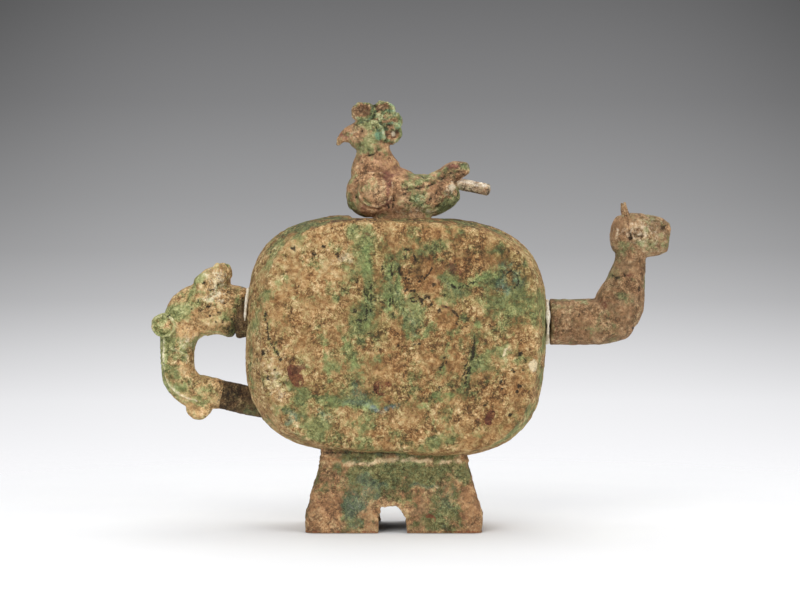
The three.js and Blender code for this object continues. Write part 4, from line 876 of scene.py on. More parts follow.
def closed(rings, ends=None):
    """Rings of equally many points, joined side by side, with a fan to a point in the first and in the last: those
    two ends, or else the middles of the rings."""
    count, around = rings.shape[:2]
    ends = (rings[0].mean(axis=0), rings[-1].mean(axis=0)) if ends is None else ends
    points = np.vstack([rings.reshape(-1, 3), *ends])
    index = np.arange(count * around).reshape(count, around)
    after = np.roll(index, -1, axis=1)
    first, last = np.full(around, count * around), np.full(around, count * around + 1)
    faces = np.vstack([
        np.stack([index[:-1], index[1:], after[1:], after[:-1]], axis=-1).reshape(-1, 4),
        np.stack([first, index[0], after[0], after[0]], axis=1),
        np.stack([last, after[-1], index[-1], index[-1]], axis=1),
    ])
    return points, facing_out(points, faces)


def round_trip(turn):
    """The points of a unit circle at those angles, on which a noise closes on itself."""
    return np.stack([np.cos(turn), np.sin(turn), 0 * turn], axis=-1).reshape(-1, 3)


def plate(x, z, half_width, half_height, lean, side, seed):
    """A small cushion-like plate: a disc whose radius wavers with the angle, its front crowned and its edge rolled
    back, closed behind. side is -1 on the front face and 1 on the back one."""
    turn, ring = np.meshgrid(np.linspace(0, 2 * math.pi, PLATE_STEPS, endpoint=False),
                             np.linspace(0, 1, PLATE_RINGS + 1)[1:])
    waver = 1 + 0.14 * crumble(round_trip(turn), 0.9, seed, 3).reshape(turn.shape)
    square = (abs(np.cos(turn)) ** 4 + abs(np.sin(turn)) ** 4) ** -0.08
    far = np.sin(np.minimum(ring * 0.62, 0.5) * math.pi) * waver * square
    deep = np.where(ring < 0.8, 0.0, (ring - 0.8) * 9) + 0.2 * ring ** 4
    points = np.stack([x + half_width * far * np.cos(turn), deep, z + half_height * far * np.sin(turn)], axis=-1)
    points = points.reshape(-1, 3)
    points[:, 0] += lean * (points[:, 2] - z)
    points[:, 1] += 0.14 * crumble(points + [0, 9 * seed, 0], 1.8, seed + 5, 4) + 0.22
    points[:, 1] = -HALF_DEPTH + np.maximum(points[:, 1], 0.02)
    ends = np.array([[x, -HALF_DEPTH + 0.2, z], [x, -HALF_DEPTH + PLATE_THICKNESS, z]])
    turned = [1, -side, 1]
    return closed(points.reshape(PLATE_RINGS, PLATE_STEPS, 3) * turned, ends * turned)


red_finish = crusted(
    "red and purple oxide of the spacers", ("3A241B", "5E4030", "80573F", "9C7150", "BC9A76"),
    ("54563A", "6C6C48", "80805A", "98946C"), ("3F5A4A", "587A66", "7C9A80"), "D2B28E", "6E3D30", 211.0, 0.82, 1.1,
)
for side, word in ((-1, "front"), (1, "back")):
    for number, (place, (along, up, half_width, half_height, lean, red)) in enumerate(SPACERS.items()):
        seed = 300 + 10 * number + side
        points, faces = plate(MIDDLE_X + along * HALF_WIDTH, MIDDLE_Z + up * HALF_HEIGHT, half_width, half_height,
                              lean, side, seed)
        rough = crumble(points, 2, seed + 20, 3)
        plain = np.zeros(len(points))
        marks = {"green": plain + 0.15, "teal": plain, "pale": plain + 0.1, "rust": red + 0.4 * rough,
                 "dark": plain + 0.12, "relief": 0.5 + 0.08 * rough, "warm": plain + 0.5}
        piece(f"{word}_chaplet_{place}", points, faces, marks, red_finish, "vessel", "red_bronze",
              f"{word}_spacer_{place}")


# The spout: a round tube, cast by itself, that leaves the body level, bends up and ends in the head of a small
# beast with pricked ears, ringed eyes and a bored muzzle. Its brown skin is finely pitted.
TUBE_RUN = ((55.5, 82.1, 9.2, 9.2), (68.0, 82.1, 9.2, 9.2), (77.0, 82.4, 9.2, 9.2), (82.0, 83.4, 9.0, 9.1))
NECK_RUN = ((82.2, 85.4, 9.5, 9.0), (83.4, 89.4, 9.9, 9.1), (84.6, 93.1, 9.2, 8.6), (85.6, 96.4, 8.2, 7.9),
            (86.5, 100.6, 7.4, 7.2), (87.5, 105.4, 6.4, 6.4), (87.9, 112.0, 6.0, 6.0))
SKULL_RUN = ((82.6, 117.1, 7.5, 6.7), (87.6, 116.7, 9.0, 8.0), (94.5, 116.5, 8.5, 7.3), (99.3, 116.2, 7.6, 6.2),
             (102.6, 115.9, 5.9, 5.2))
MUZZLE_X, MUZZLE_Z, THROAT = 103.1, 115.9, 3.7
LIMB_STEPS = 72  # points round a limb
SPOUT_EYE, SPOUT_NOSTRIL = (90.4, 117.4), (100.4, 119.7)


def limb(stations, spacing=0.55, round_steps=LIMB_STEPS, square=2.2, domes=(0.0, 0.0)):
    """A limb in the XZ plane. A smooth curve through its stations (x, z, half thickness, half depth) carries a
    superellipse, and each end closes flat or in a dome of that length."""
    stations = np.asarray(stations, float)
    length = np.hypot(*np.diff(stations[:, :2], axis=0).T).sum()
    run = smooth_run(stations, max(6, int(length / spacing)))
    way = np.gradient(run[:, :2], axis=0)
    way /= np.linalg.norm(way, axis=1, keepdims=True)
    grow, push = np.ones(len(run)), np.zeros(len(run))
    for end, dome in zip((0, -1), domes):
        if not dome:
            continue
        tilt = np.radians([12, 25, 38, 50, 61, 71, 80, 86])
        tilt = tilt[::-1] if end == 0 else tilt
        sign = -1 if end == 0 else 1
        extra = np.repeat(run[end][None], len(tilt), axis=0)
        order = (lambda new, old: [new, old]) if end == 0 else (lambda new, old: [old, new])
        run = np.vstack(order(extra, run))
        way = np.vstack(order(np.repeat(way[end][None], len(tilt), axis=0), way))
        grow = np.concatenate(order(np.cos(tilt), grow))
        push = np.concatenate(order(sign * dome * np.sin(tilt), push))
    turn = np.linspace(0, 2 * math.pi, round_steps, endpoint=False)
    across = np.sign(np.cos(turn)) * abs(np.cos(turn)) ** (2 / square)
    deep = np.sign(np.sin(turn)) * abs(np.sin(turn)) ** (2 / square)
    centre = run[:, :2] + way * push[:, None]
    thick = (run[:, 2] * grow)[:, None] * across
    rings = np.stack([centre[:, :1] - thick * way[:, 1:], (run[:, 3] * grow)[:, None] * deep,
                      centre[:, 1:] + thick * way[:, :1]], axis=-1)
    return closed(rings)


def drop(x, y, z, rx, ry, rz):
    """A rounded lump with its middle and its three half sizes: rings of a sphere, stretched."""
    tilt = np.linspace(0, math.pi, 18)[1:-1, None]
    turn = np.linspace(0, 2 * math.pi, 24, endpoint=False)
    ball = np.stack([np.sin(tilt) * np.cos(turn), np.sin(tilt) * np.sin(turn), np.cos(tilt) + 0 * turn], axis=-1)
    return closed(ball * [rx, ry, rz] + [x, y, z])


def spike(start, end, radii):
    """A round pointed horn from start to end: circles across the line between them, with those radii."""
    start, end = np.array(start, float), np.array(end, float)
    way = (end - start) / np.linalg.norm(end - start)
    side = np.cross(way, [0, 1, 0])
    side /= np.linalg.norm(side)
    turn = np.linspace(0, 2 * math.pi, 20, endpoint=False)[:, None]
    circle = np.cos(turn) * side + np.sin(turn) * np.cross(way, side)
    share = np.linspace(0, 1, len(radii))
    return closed(np.stack([start + (end - start) * s + circle * r for s, r in zip(share, radii)]))


def cylinder(x, z, radius, half_depth, edge=0.8):
    """A round boss along Y: circles whose radius eases in at both ends like a pebble's edge."""
    tilt = np.radians(np.linspace(-90, 90, 13))
    y = np.where(tilt < 0, -1, 1) * (half_depth - edge) + edge * np.sin(tilt)
    size = radius - edge + edge * np.cos(tilt)
    y = np.concatenate([[-half_depth], y, [half_depth]])
    size = np.concatenate([[radius * 0.3], size, [radius * 0.3]])
    turn = np.linspace(0, 2 * math.pi, 48, endpoint=False)
    rings = np.stack([x + size[:, None] * np.cos(turn), y[:, None] + 0 * turn, z + size[:, None] * np.sin(turn)],
                     axis=-1)
    return closed(rings)


def melt(parts, voxel=0.4, rounds=3):
    """Closed surfaces melted into one cast skin on a fine lattice, as wax parts are before casting, then eased:
    each round moves every point half way to the mean of its neighbours."""
    offsets = np.cumsum([0] + [len(p) for p, _ in parts])
    points = np.vstack([p for p, _ in parts])
    faces = np.vstack([f + o for (_, f), o in zip(parts, offsets)])
    wax = bpy.data.objects.new("wax", surface("wax", points, faces, unit=1.0))
    bpy.context.scene.collection.objects.link(wax)
    lattice = wax.modifiers.new("lattice", "REMESH")
    lattice.mode, lattice.voxel_size, lattice.adaptivity = "VOXEL", voxel, 0
    poured = wax.evaluated_get(bpy.context.evaluated_depsgraph_get())
    mesh = poured.to_mesh()
    points = np.empty(3 * len(mesh.vertices), np.float32)
    mesh.vertices.foreach_get("co", points)
    corners = np.empty(len(mesh.loops), np.int32)
    mesh.loops.foreach_get("vertex_index", corners)
    points, faces = points.reshape(-1, 3).astype(float), corners.reshape(-1, 4).astype(np.int64)
    poured.to_mesh_clear()
    bpy.data.objects.remove(wax)
    edges = np.concatenate([faces[:, [k, (k + 1) % 4]] for k in range(4)])
    share = np.bincount(edges[:, 0], minlength=len(points))
    for _ in range(rounds):
        mean = np.stack([np.bincount(edges[:, 0], points[edges[:, 1], axis], len(points)) for axis in range(3)], 1)
        points = (points + mean / share[:, None]) / 2
    return points, faces


def aged(points, faces, seed, coarse=1.0, green=0.3, pale=0.2, cast=0.0, dark=0.0, teal=0.2, rust=0.0, warm=0.0,
         drop_by=0.2):
    """Burial roughens a cast skin: crust, lumps, grit and pits, and marks for its finish, as on the body. cast is
    relief that was there before."""
    lumps, grit = crumble(points, 3.4 * coarse, seed, 4), crumble(points, 1.3, seed + 6, 2)
    pit = pocks(ragged(points, 0.4, seed + 16), 4.0, 0.7 * coarse, 0.13, seed + 12)
    bare = 0.4 + 0.4 * crumble(points, 5.5, seed + 20, 5) - green
    cover = eased(bare, -0.2, 0.2)
    height = 0.18 * cover + 0.13 * coarse * lumps + 0.06 * grit - 0.4 * pit - drop_by + cast
    zero = np.zeros(len(points))
    marks = {"green": np.clip(0.5 - 1.2 * bare, 0, 1), "teal": zero + teal, "pale": zero + pale, "rust": zero + rust,
             "warm": zero + warm + 0.3 * swell(points, 11, seed + 50), "dark": np.maximum(0.55 * pit, dark),
             # relief is lighter on the lumps, grit and raised cast relief that also raise the skin: partly the
             # crust's tone, partly painted light on their tops and painted shade in their hollows.
             "relief": 0.5 + 0.09 * lumps + 0.06 * grit + 0.2 * cast}
    return points + outward(points, faces) * np.asarray(height)[:, None], marks


skull = limb(SKULL_RUN, square=2.5, domes=(3.0, 0.0))
# The muzzle's end turns in and back as a blind bore: its last ring, smaller rings on it, and the bore's own.
bored = skull[0][:-2].reshape(-1, LIMB_STEPS, 3)
lip_ring, lip_middle = bored[-1], bored[-1].mean(axis=0)
inward = lip_ring - lip_middle
turned = [lip_middle + inward * s + [0.5 * math.sin(a), 0, 0] for s, a in ((0.97, 0.7), (0.9, 1.3), (0.82, 1.57))]
size = np.linalg.norm(inward, axis=1, keepdims=True)
turned += [[MUZZLE_X - back, 0, MUZZLE_Z] + inward / size * radius for back, radius in
           ((0.0, THROAT + 0.5), (0.5, THROAT), (3, THROAT), (6, THROAT * 0.95), (7.2, THROAT * 0.6))]
skull = closed(np.concatenate([bored, np.stack(turned)]))
parts = [limb(TUBE_RUN, domes=(0.0, 7.8)), limb(NECK_RUN, domes=(7.0, 3.0)), skull]
for side in (-1, 1):
    parts.append(spike((86.8, side * 4.7, 119.5), (84.7, side * 5.1, 129.9), (2.2, 1.9, 1.5, 1.15, 0.9, 0.6)))
    parts.append(drop(90.7, side * 5.6, 118.4, 2.9, 2.2, 2.7))
    parts.append(drop(99.8, side * 2.9, 119.6, 2.4, 2.0, 2.2))
    parts.append(drop(94, side * 5.2, 112.4, 5.2, 2.0, 2.6))
points, faces = melt(parts, 0.42)
x, y, z = points.T
beside = eased(abs(y), 3.2, 5.0)
eye = np.hypot(x - SPOUT_EYE[0], z - SPOUT_EYE[1])
jaw = off_line(x, z, ((103, 112.6), (98.5, 112.3), (94.5, 113.6)))
cheek = off_line(x, z, ((88.6, 112.6), (86.4, 115.4), (88.2, 117.6)))
brow = off_line(x, z, ((86.6, 119.6), (90.2, 122), (95, 120.6), (99, 121.6)))
cast = beside * (0.65 * hump(eye - 2.8, 0.55) + 0.35 * hump(eye, 0.9) - 0.5 * hump(eye - 1.6, 0.5)
                 - 0.5 * hump(jaw, 0.6) - 0.4 * hump(cheek, 0.7) + 0.4 * hump(brow, 0.9))
nostril = hump(np.hypot(x - SPOUT_NOSTRIL[0], z - SPOUT_NOSTRIL[1]), 1.3) * eased(abs(y), 2.0, 3.4)
ear = off_line(x, z, ((85.2, 127.6), (85.9, 122), (87.2, 115.4)))
cast = cast - 0.8 * nostril - 0.3 * hump(ear, 0.5) * (abs(y) > 4.8)
dark = 0.62 * nostril + 0.25 * beside * (hump(jaw, 0.5) + hump(cheek, 0.8)) + 0.36 * hump(ear, 0.6) * (abs(y) > 4.8)
pit = (y < 0) * scars(points, (
    (81.6, 100.0, 1.5, 0.9), (90.8, 96.0, 0.8, 1.6), (88.6, 79.8, 1.0, 0.5), (80.0, 100.9, 0.6, 0.5),
    (84.7, 100.6, 0.4, 0.9), (75.5, 86.5, 0.4, 0.4), (86.9, 115.5, 0.6, 0.8), (66.5, 85.4, 0.4, 0.4),
    (96.4, 115.2, 0.5, 0.5), (69.4, 79.2, 0.4, 0.4), (100.9, 120.4, 1.1, 1.0)), 43)
cast, dark = cast - 0.3 * pit, np.maximum(dark, 0.7 * pit)
# The bore inside the muzzle is made almost black: painted shade in the hole.
throat = (np.hypot(y, z - MUZZLE_Z) < THROAT + 0.6) & (x > 94) & (x < 102.6)
dark = np.maximum(dark, 0.95 * throat)
green = 0.12 + spots(x, z, (
    (93.2, 118.6, 1.3, 1.3, 1.1), (95, 124.2, 6, 1.8, 0.6), (84, 111, 3, 4, 0.25), (94.4, 97, 1.4, 9, 0.7),
    (83.4, 92.6, 1.5, 1.5, 0.6), (63.5, 85, 4, 5, 0.2), (74, 74.5, 16, 2, 0.2), (97, 113, 4, 3, 0.2),
    (86, 112, 5, 5, 0.15), (78, 78, 9, 6, -0.15))) + 0.12 * swell(points, 9, 4)
pale = 0.2 + spots(x, z, (
    (96, 121, 8, 5, 0.3), (84, 118, 5, 7, 0.3), (98, 112, 6, 5, 0.25), (66, 91, 8, 2, 0.25), (90.3, 117, 4, 4, 0.3)))
rust = 0.14 + spots(x, z, (
    (87, 100, 3, 5, 0.5), (77, 89.5, 4, 3, 0.6), (57.5, 80, 1.6, 9, 0.6), (83, 119, 3, 4, 0.25)))
warm = 0.24 + spots(x, z, ((86, 98, 7, 8, 0.6), (72, 84, 20, 7, 0.3), (84, 120, 5, 6, 0.6), (96, 117, 8, 8, -0.4)))
points, marks = aged(points, faces, 401, 0.8, green, pale, cast, dark, 0.12, rust, warm)
marks["relief"] += 0.06 * eased(z, 106, 113)
spout_finish = crusted(
    "finely pitted brown of the spout", ("50402F", "755D45", "94785C", "B29677", "D2BA9A"),
    ("4A4A2E", "6C6C46", "8C8A5E", "AEAA80"), ("3F5A4A", "587A66", "7C9A80"), "E6D4B6", "6E4031", 409.0, 1.0, 0.98,
)
piece("beast_spout", points, faces, marks, spout_finish, "vessel", "brown_bronze", "spout")


# The repair fillers: pale putty that a restorer pressed into the gaps where spout and handle meet the body, wiped
# off by hand, so it wavers in width and is a little dirty.
def putty_ring(x, z, half_height, half_depth, thickness, width, lean, seed):
    """A ring in the YZ plane: round an oval of those half sizes runs a small oval section that wavers."""
    turn, bead = np.meshgrid(np.linspace(0, 2 * math.pi, 120, endpoint=False),
                             np.linspace(0, 2 * math.pi, 16, endpoint=False), indexing="ij")
    waver = 1 + 0.45 * np.clip(crumble(round_trip(turn), 0.4, seed, 3), -1.4, 1.4).reshape(turn.shape)
    out = np.cos(bead) * thickness * waver
    points = np.stack([x + np.sin(bead) * width * waver + lean * half_height * np.sin(turn),
                       (half_depth + out) * np.cos(turn), z + (half_height + out) * np.sin(turn)], axis=-1)
    points = points.reshape(-1, 3)
    points += 0.06 * crumble(points, 0.8, seed + 3, 3)[:, None]
    index = np.arange(turn.size).reshape(turn.shape)
    right, up = np.roll(index, -1, axis=0), np.roll(index, -1, axis=1)
    faces = np.stack([index, right, np.roll(right, -1, axis=1), up], axis=-1).reshape(-1, 4)
    return points, facing_out(points, faces)


putty = Finish(bpy.data.materials.new("pale repair filler"))
smear = putty.ramp(putty.grain(1.6, 6, 0.7, 2), [(0.32, pigment("B7A588")), (0.45, pigment("DCCFB6")),
                                                (0.6, pigment("ECE3D2")), (0.75, pigment("F3ECDF"))])
dirt = putty.grain(0.8, 4, 0.6, 5)
smear = putty.over(dirt.between(0.58, 0.7) * 0.6, smear, pigment("8A7250"))
putty_finish = putty.skin({"Base Color": smear, "Roughness": 0.8 + dirt * 0.2},
                          {"Strength": 0.6, "Distance": 0.0004, "Height": putty.grain(0.9, 5, 0.7, 9)})
for place, ring in (("spout", (54.3, 82.1, 8.3, 8.3, 0.7, 0.8, 0.0, 501)),
                    ("handle", (-65.8, 86.2, 9.0, 6.7, 0.8, 0.7, 0.08, 507))):
    piece(f"{place}_filler", *putty_ring(*ring), {}, putty_finish, "vessel", "repair_filler", f"{place}_seam_fill")


# The tenons: bare dark bars, cast on the body, over which the handle was cast. The upper one has a collar that fills
# the beast's jaws, the lower one slopes up into its tail.
def bar_skin(run, square, seed, domes=(0.0, 0.0)):
    """A cast bar: a limb through its stations with a little wear and its finish marks."""
    points, faces = limb(run, 0.4, 64, square, domes)
    return aged(points, faces, seed, 0.7, green=0.1, pale=0.05, drop_by=0.1, rust=0.1) + (faces,)


dark_finish = crusted(
    "dark bare bronze of the tenons", ("231A12", "3F3021", "5A4833", "776248", "9C8666"),
    ("33321F", "4A4930", "64623F", "827E54"), ("4A5A60", "66757A", "8A9494"), "B09C7C", "4A2C20", 617.0, 1.18,
)
points, marks, faces = bar_skin(((-79.2, 85.9, 6.5, 4.8), (-70.6, 85.9, 6.9, 5.1), (-70.0, 85.9, 9.2, 6.6),
                                 (-69.2, 85.9, 10.2, 7.2), (-67.6, 85.9, 10.2, 7.2), (-66.7, 85.9, 9.6, 6.8),
                                 (-65.9, 86.5, 8.0, 6.0), (-62.8, 85.9, 6.5, 4.8)), 2.4, 621)
x, y, z = points.T
marks["teal"] += 0.8 * eased(z, 90, 93)
marks["green"] += 0.5 * eased(z, 90, 93) + 0.3 * eased(-z, -82, -78)
marks["relief"] += 0.12 * eased(z, 78, 86)
marks["pale"] += 0.2 * eased(z, 80, 88)
piece("upper_tenon", points, faces, marks, dark_finish, "vessel", "dark_bronze", "handle_upper_tenon")
points, marks, faces = bar_skin(((-82.3, 54.2, 5.4, 3.8), (-74, 52.6, 5.6, 3.9), (-66.35, 50.9, 5.7, 4.0),
                                 (-58.2, 49.2, 5.7, 4.0)), 2.8, 631)
x, y, z = points.T
marks["pale"] += 0.35 * spots(x, z, ((-71, 48.4, 8, 2.4, 1), (-62, 47, 4, 2, 0.8)))
marks["dark"] += 0.5 * spots(x, z, ((-71, 54, 4, 2.4, 1), (-63, 52, 4, 2, 0.7)))
piece("lower_tenon", points, faces, marks, dark_finish, "vessel", "dark_bronze", "handle_lower_tenon")


# The handle: a beast cast over both tenons. Its open jaws hold the upper one, a curled horn rises behind its head,
# and its body runs down as a strap with a raised edge to the tail, with a small lug below.
GRIP = ((-67.9, 85.2, 9.6, 7.0), (-69.4, 85.7, 10.6, 7.9), (-72.2, 86.6, 10.4, 8.3), (-75.2, 87.1, 10.1, 8.5),
        (-81.7, 87.1, 10.7, 7.3), (-87.8, 84.9, 10.5, 6.7), (-92.1, 78.9, 8.4, 6.3), (-93.5, 71.9, 7.1, 6.3),
        (-93.5, 65.5, 6.8, 6.3), (-92.4, 59.5, 6.9, 6.0), (-87.9, 54.9, 6.9, 5.8), (-82.6, 54.2, 6.4, 5.3),
        (-78.0, 53.4, 6.1, 4.7), (-75.4, 52.9, 5.75, 4.15))
BROW = ((-83.3, 96.0, 5.0, 6.6), (-78.9, 98.9, 5.2, 7.1), (-74.7, 99.9, 4.6, 6.6))
HORN_X, HORN_Z, HORN_RADIUS, HORN_HALF_DEPTH = -98.2, 80.7, 4.9, 7.6
RAISED_EDGE = ((-98.4, 75.0), (-98.6, 67), (-98.0, 61.0), (-95.6, 56.4), (-91.4, 53.2), (-85.4, 50.8))

parts = [limb(GRIP, square=2.5, domes=(0.4, 0.3)), limb(BROW, square=2.3, domes=(3.0, 2.4)),
         cylinder(HORN_X, HORN_Z, HORN_RADIUS, HORN_HALF_DEPTH), cylinder(-84.8, 48.0, 5.0, 5.4, 1.6)]
for side in (-1, 1):
    parts.append(drop(-75.7, side * 6.1, 101.7, 3.8, 2.3, 4.1))
    parts.append(drop(-78.6, side * 7.0, 94.8, 2.6, 1.8, 2.4))
points, faces = melt(parts, 0.42)
x, y, z = points.T
beside = eased(abs(y), 4.0, 5.4)
boss = np.hypot(x - HORN_X, z - HORN_Z)
rib = off_line(x, z, RAISED_EDGE)
lid = off_line(x, z, ((-82, 91), (-79.4, 91.6), (-76, 93.6)))
snout = off_line(x, z, ((-71, 93), (-74, 89.5), (-73.4, 84), (-75.4, 79.4)))
neck = off_line(x, z, ((-88, 93.4), (-90.4, 88), (-94, 84.6)))
hip = off_line(x, z, ((-86.4, 78.6), (-90, 75.6), (-93.4, 73.2)))
teeth = np.sin(z * 2 * math.pi / 2.1) * eased(-x, 98.2, 99.4) * eased(z, 61, 64) * eased(-z, -74, -71)
ridges = [off_line(x, z, knots) for knots in (
    ((-84.6, 91.2), (-80.4, 92.6), (-76.4, 93.8), (-71.0, 92.4)), ((-88.0, 88.6), (-85.0, 84.4), (-80.4, 81.4)),
    ((-83.0, 86.6), (-79.4, 84.6), (-76.6, 80.8)), ((-92.0, 86.8), (-89.2, 82.0), (-88.4, 76.8)),
    ((-82.6, 101.4), (-79.0, 99.0), (-77.4, 97.0)), ((-97.4, 72.0), (-93.0, 71.0), (-88.4, 68.0)))]
ridge = np.max([hump(away, 0.55) for away in ridges], axis=0)
cast = beside * (0.75 * hump(rib, 0.65) - 0.4 * hump(rib - 1.6, 0.8) + 0.7 * hump(boss - 4.1, 0.65)
                 + 0.45 * hump(boss, 1.6) - 0.55 * hump(boss - 3.0, 0.65) + 0.3 * hump(lid, 0.55) + 0.4 * ridge
                 - 0.4 * hump(snout, 0.7) - 0.35 * hump(neck, 0.8) - 0.3 * hump(hip, 0.8)) + 0.12 * teeth
rough = crumble(points, 2.6, 77, 4)
lumpy = beside * eased(z, 78, 84) * crumble(points, 4.2, 79, 3)
# Between the jaws the mouth is sunk, darkened and made less pale: painted shade in the mouth.
into_mouth = x + 75.6 - 0.571 * (z - 79.5) + 1.8 * rough
mouth = eased(into_mouth, -1.0, 3.0) * eased(-z, -97, -93) * eased(z, 72, 76) * (x > -78)
cast = cast - 0.5 * mouth * beside + 0.3 * lumpy
grooves = hump(snout, 0.6) + hump(neck, 0.6) + hump(boss - 3.0, 0.4) + hump(rib - 1.5, 0.4)
dark = 0.46 * mouth + 0.3 * beside * grooves
pit = beside * scars(points, (
    (-79.6, 94.9, 1.4, 0.7), (-82.4, 98.1, 0.9, 0.7), (-83.7, 86.8, 0.8, 1.0), (-80.6, 88.6, 0.7, 0.9),
    (-76.6, 96.8, 0.6, 0.4), (-84.6, 90.6, 0.5, 0.7), (-76.4, 86.2, 1.1, 0.8), (-79.8, 84.6, 0.6, 0.8),
    (-96.4, 84.8, 0.7, 0.9), (-74.2, 89.6, 0.8, 0.6), (-86.6, 87.2, 0.4, 0.5), (-78.4, 90.6, 0.4, 0.5),
    (-74.6, 82.6, 1.0, 1.2), (-85.4, 93.6, 0.4, 0.4), (-72.6, 94.4, 0.7, 0.5), (-77.6, 82.0, 0.5, 0.7)), 53)
cast, dark = cast - 0.5 * pit, np.maximum(dark, 0.68 * pit)
green = 0.3 + spots(x, z, (
    (-91, 88, 5, 4, 0.55), (-101, 80, 3, 6, 0.4), (-98, 86, 4, 3, 0.3), (-95, 61, 5, 7, 0.3), (-86, 50, 7, 4, 0.3),
    (-85, 99, 3, 4, 0.35), (-81, 77.6, 4, 2, 0.5), (-99.6, 68, 2, 12, 0.5), (-93, 56, 7, 3, 0.3),
    (-72, 79, 5, 6, 0.5), (-77, 100, 5, 5, -0.4), (-78, 90, 9, 8, -0.3), (-87, 80, 5, 6, -0.15),
    (-90.5, 68, 4, 6, -0.1), (-76, 105, 6, 2, 0.3))) + 0.12 * rough
green = green + 0.3 * hump(boss - 4.2, 0.8) - 0.3 * hump(boss, 2.2)
pale = 0.32 + spots(x, z, (
    (-77, 92, 5, 4, 0.3), (-88, 74, 6, 5, 0.3), (-77, 100, 6, 5, 0.45), (-93, 60, 8, 9, 0.15)))
pale += beside * (0.45 * hump(rib, 0.5) + 0.2 * hump(lid, 0.6) + 0.12 * ridge + 0.2 * hump(boss - 4.2, 0.5))
rust = 0.12 + spots(x, z, (
    (-89, 81, 4, 5, 0.4), (-91.4, 67, 3, 3, 0.3), (-82, 86, 5, 4, 0.35), (-72, 96.4, 4, 2, 0.4)))
warm = 0.2 + spots(x, z, ((-80, 92, 8, 8, 0.5), (-88, 79, 5, 6, 0.7), (-98, 80.7, 3, 3, 0.9), (-90, 68, 4, 7, 0.3),
                          (-94, 58, 8, 8, -0.5), (-88, 96, 6, 5, -0.4), (-74, 82, 4, 5, -0.8)))
tail_end = eased(x, -80.5, -75.5) * (z < 62)
dark, green, pale = dark + 0.4 * tail_end, green - 0.3 * tail_end, pale - 0.5 * tail_end - 0.3 * mouth
points, marks = aged(points, faces, 701, 1.15, green, pale, cast, dark, 0.12, rust, warm)
# Darker still in the mouth between the jaws: painted shade.
marks["relief"] -= 0.26 * mouth * beside
handle_finish = crusted(
    "tan and green crust of the handle", ("5C482E", "8E7350", "BC9E74", "D6BE94", "EEDDB8"),
    ("4A522C", "7A8250", "A2A66E", "CACA98"), ("4C6A52", "6E8E70", "92AE8E"), "F0E4C4", "75493A", 719.0, 1.14, 1.05,
)
piece("beast_handle", points, faces, marks, handle_finish, "vessel", "pale_green_bronze", "handle")


# The clay core: burnt earth left in the hollow of the grip, where it can't be reached. The CAD solid has its shape.
clay = Finish(bpy.data.materials.new("burnt clay"))
earth = clay.ramp(clay.grain(1.8, 6, 0.7, 4), [(0.35, pigment("5E4431")), (0.5, pigment("86664A")),
                                              (0.65, pigment("A08264"))])
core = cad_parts["handle_clay_core"].data.materials
core.clear()
core.append(clay.skin(
    {"Base Color": earth, "Roughness": clay.grain(2, 3, 0.5, 6) * 0.2 + 0.8, "Specular IOR Level": 0.5},
    {"Strength": 0.7, "Distance": 0.0005, "Height": clay.grain(0.7, 5, 0.7, 8)}))


# The lid: a crested bird, cast hollow below, that squats on the mouth with a spigot in it and looks to the handle.
# It has ringed wings, a hooked beak, a fan of curled lobes for a crest and a tail that turns up.
LID_BASE = 123.8
TRUNK = ((-23.4, 133.5, 6.7, 6.6), (-19.0, 133.3, 9.2, 9.9), (-12.0, 133.1, 9.6, 10.8), (0.0, 132.5, 9.0, 10.2),
         (8.0, 132.6, 8.4, 9.4), (13.6, 133.6, 6.9, 7.6), (17.6, 135.0, 4.6, 5.0))
NECK = ((-13.45, 136.5, 10.6, 8.6), (-14.45, 144.4, 9.6, 7.1), (-15.05, 150.4, 6.8, 6.0), (-15.65, 156.4, 7.2, 6.2),
        (-15.25, 160.4, 6.5, 5.8))
BEAK = ((-18.9, 158.2, 4.4, 4.2), (-24.1, 157.0, 3.6, 3.1), (-27.6, 155.4, 2.0, 1.5), (-29.2, 153.1, 0.9, 0.8))
TAIL = ((6.0, 135.4, 4.8, 6.8), (13.0, 139.2, 4.3, 6.0), (18.0, 141.8, 3.4, 5.6), (21.6, 143.2, 2.4, 5.0))
CREST = ((-19.2, 166.1, 4.7, 4.0), (-10.8, 166.7, 4.9, 3.7), (-7.9, 162.4, 4.3, 4.0), (-7.4, 157.3, 3.8, 4.2))
WING_X, WING_Z, WING_RADIUS = -14.0, 134.7, 6.8

trunk_points, trunk_faces = limb(TRUNK, square=2.5, domes=(2.6, 1.6))
trunk_points[:, 2] = np.maximum(trunk_points[:, 2], LID_BASE + 0.2)
parts = [(trunk_points, trunk_faces), limb(NECK, domes=(0.0, 3.6)), limb(BEAK, 0.3, 40, domes=(0.0, 0.8)),
         limb(TAIL, square=2.5, domes=(2.0, 2.0)),
         limb(((12.2, 141.4, 2.0, 5.2), (16.5, 143.9, 2.2, 5.4), (21.8, 144.3, 1.7, 4.6)), 0.4, domes=(1.6, 1.6)),
         limb(((-12.0, 140.6, 4.0, 5.6), (-7.0, 140.2, 4.2, 5.4), (-1.5, 138.6, 4.2, 5.0)), domes=(3.0, 3.0))]
web = cylinder(0, 0, 1, 0.5, 0.2)
parts.append((web[0] * [8.0, 4.6, 7.6] + [-13.2, 0, 161.0], web[1]))
parts.append(drop(-19.4, 0, 156.6, 6.0, 5.6, 6.4))
for px, pz, wide, high in CREST:
    disc = cylinder(0, 0, 1, 0.5, 0.25)
    points = disc[0] * [wide, 5.2, high] + [px, 0, pz]
    knobbly = ragged(points, 0.55, 31)
    parts.append((points + (knobbly - points) * [1, 0.3, 1], disc[1]))
spigot, _ = oblong_round(11.4, 6.9, 2.4, 96)
ring = np.concatenate([spigot, np.zeros((96, 1))], axis=1)
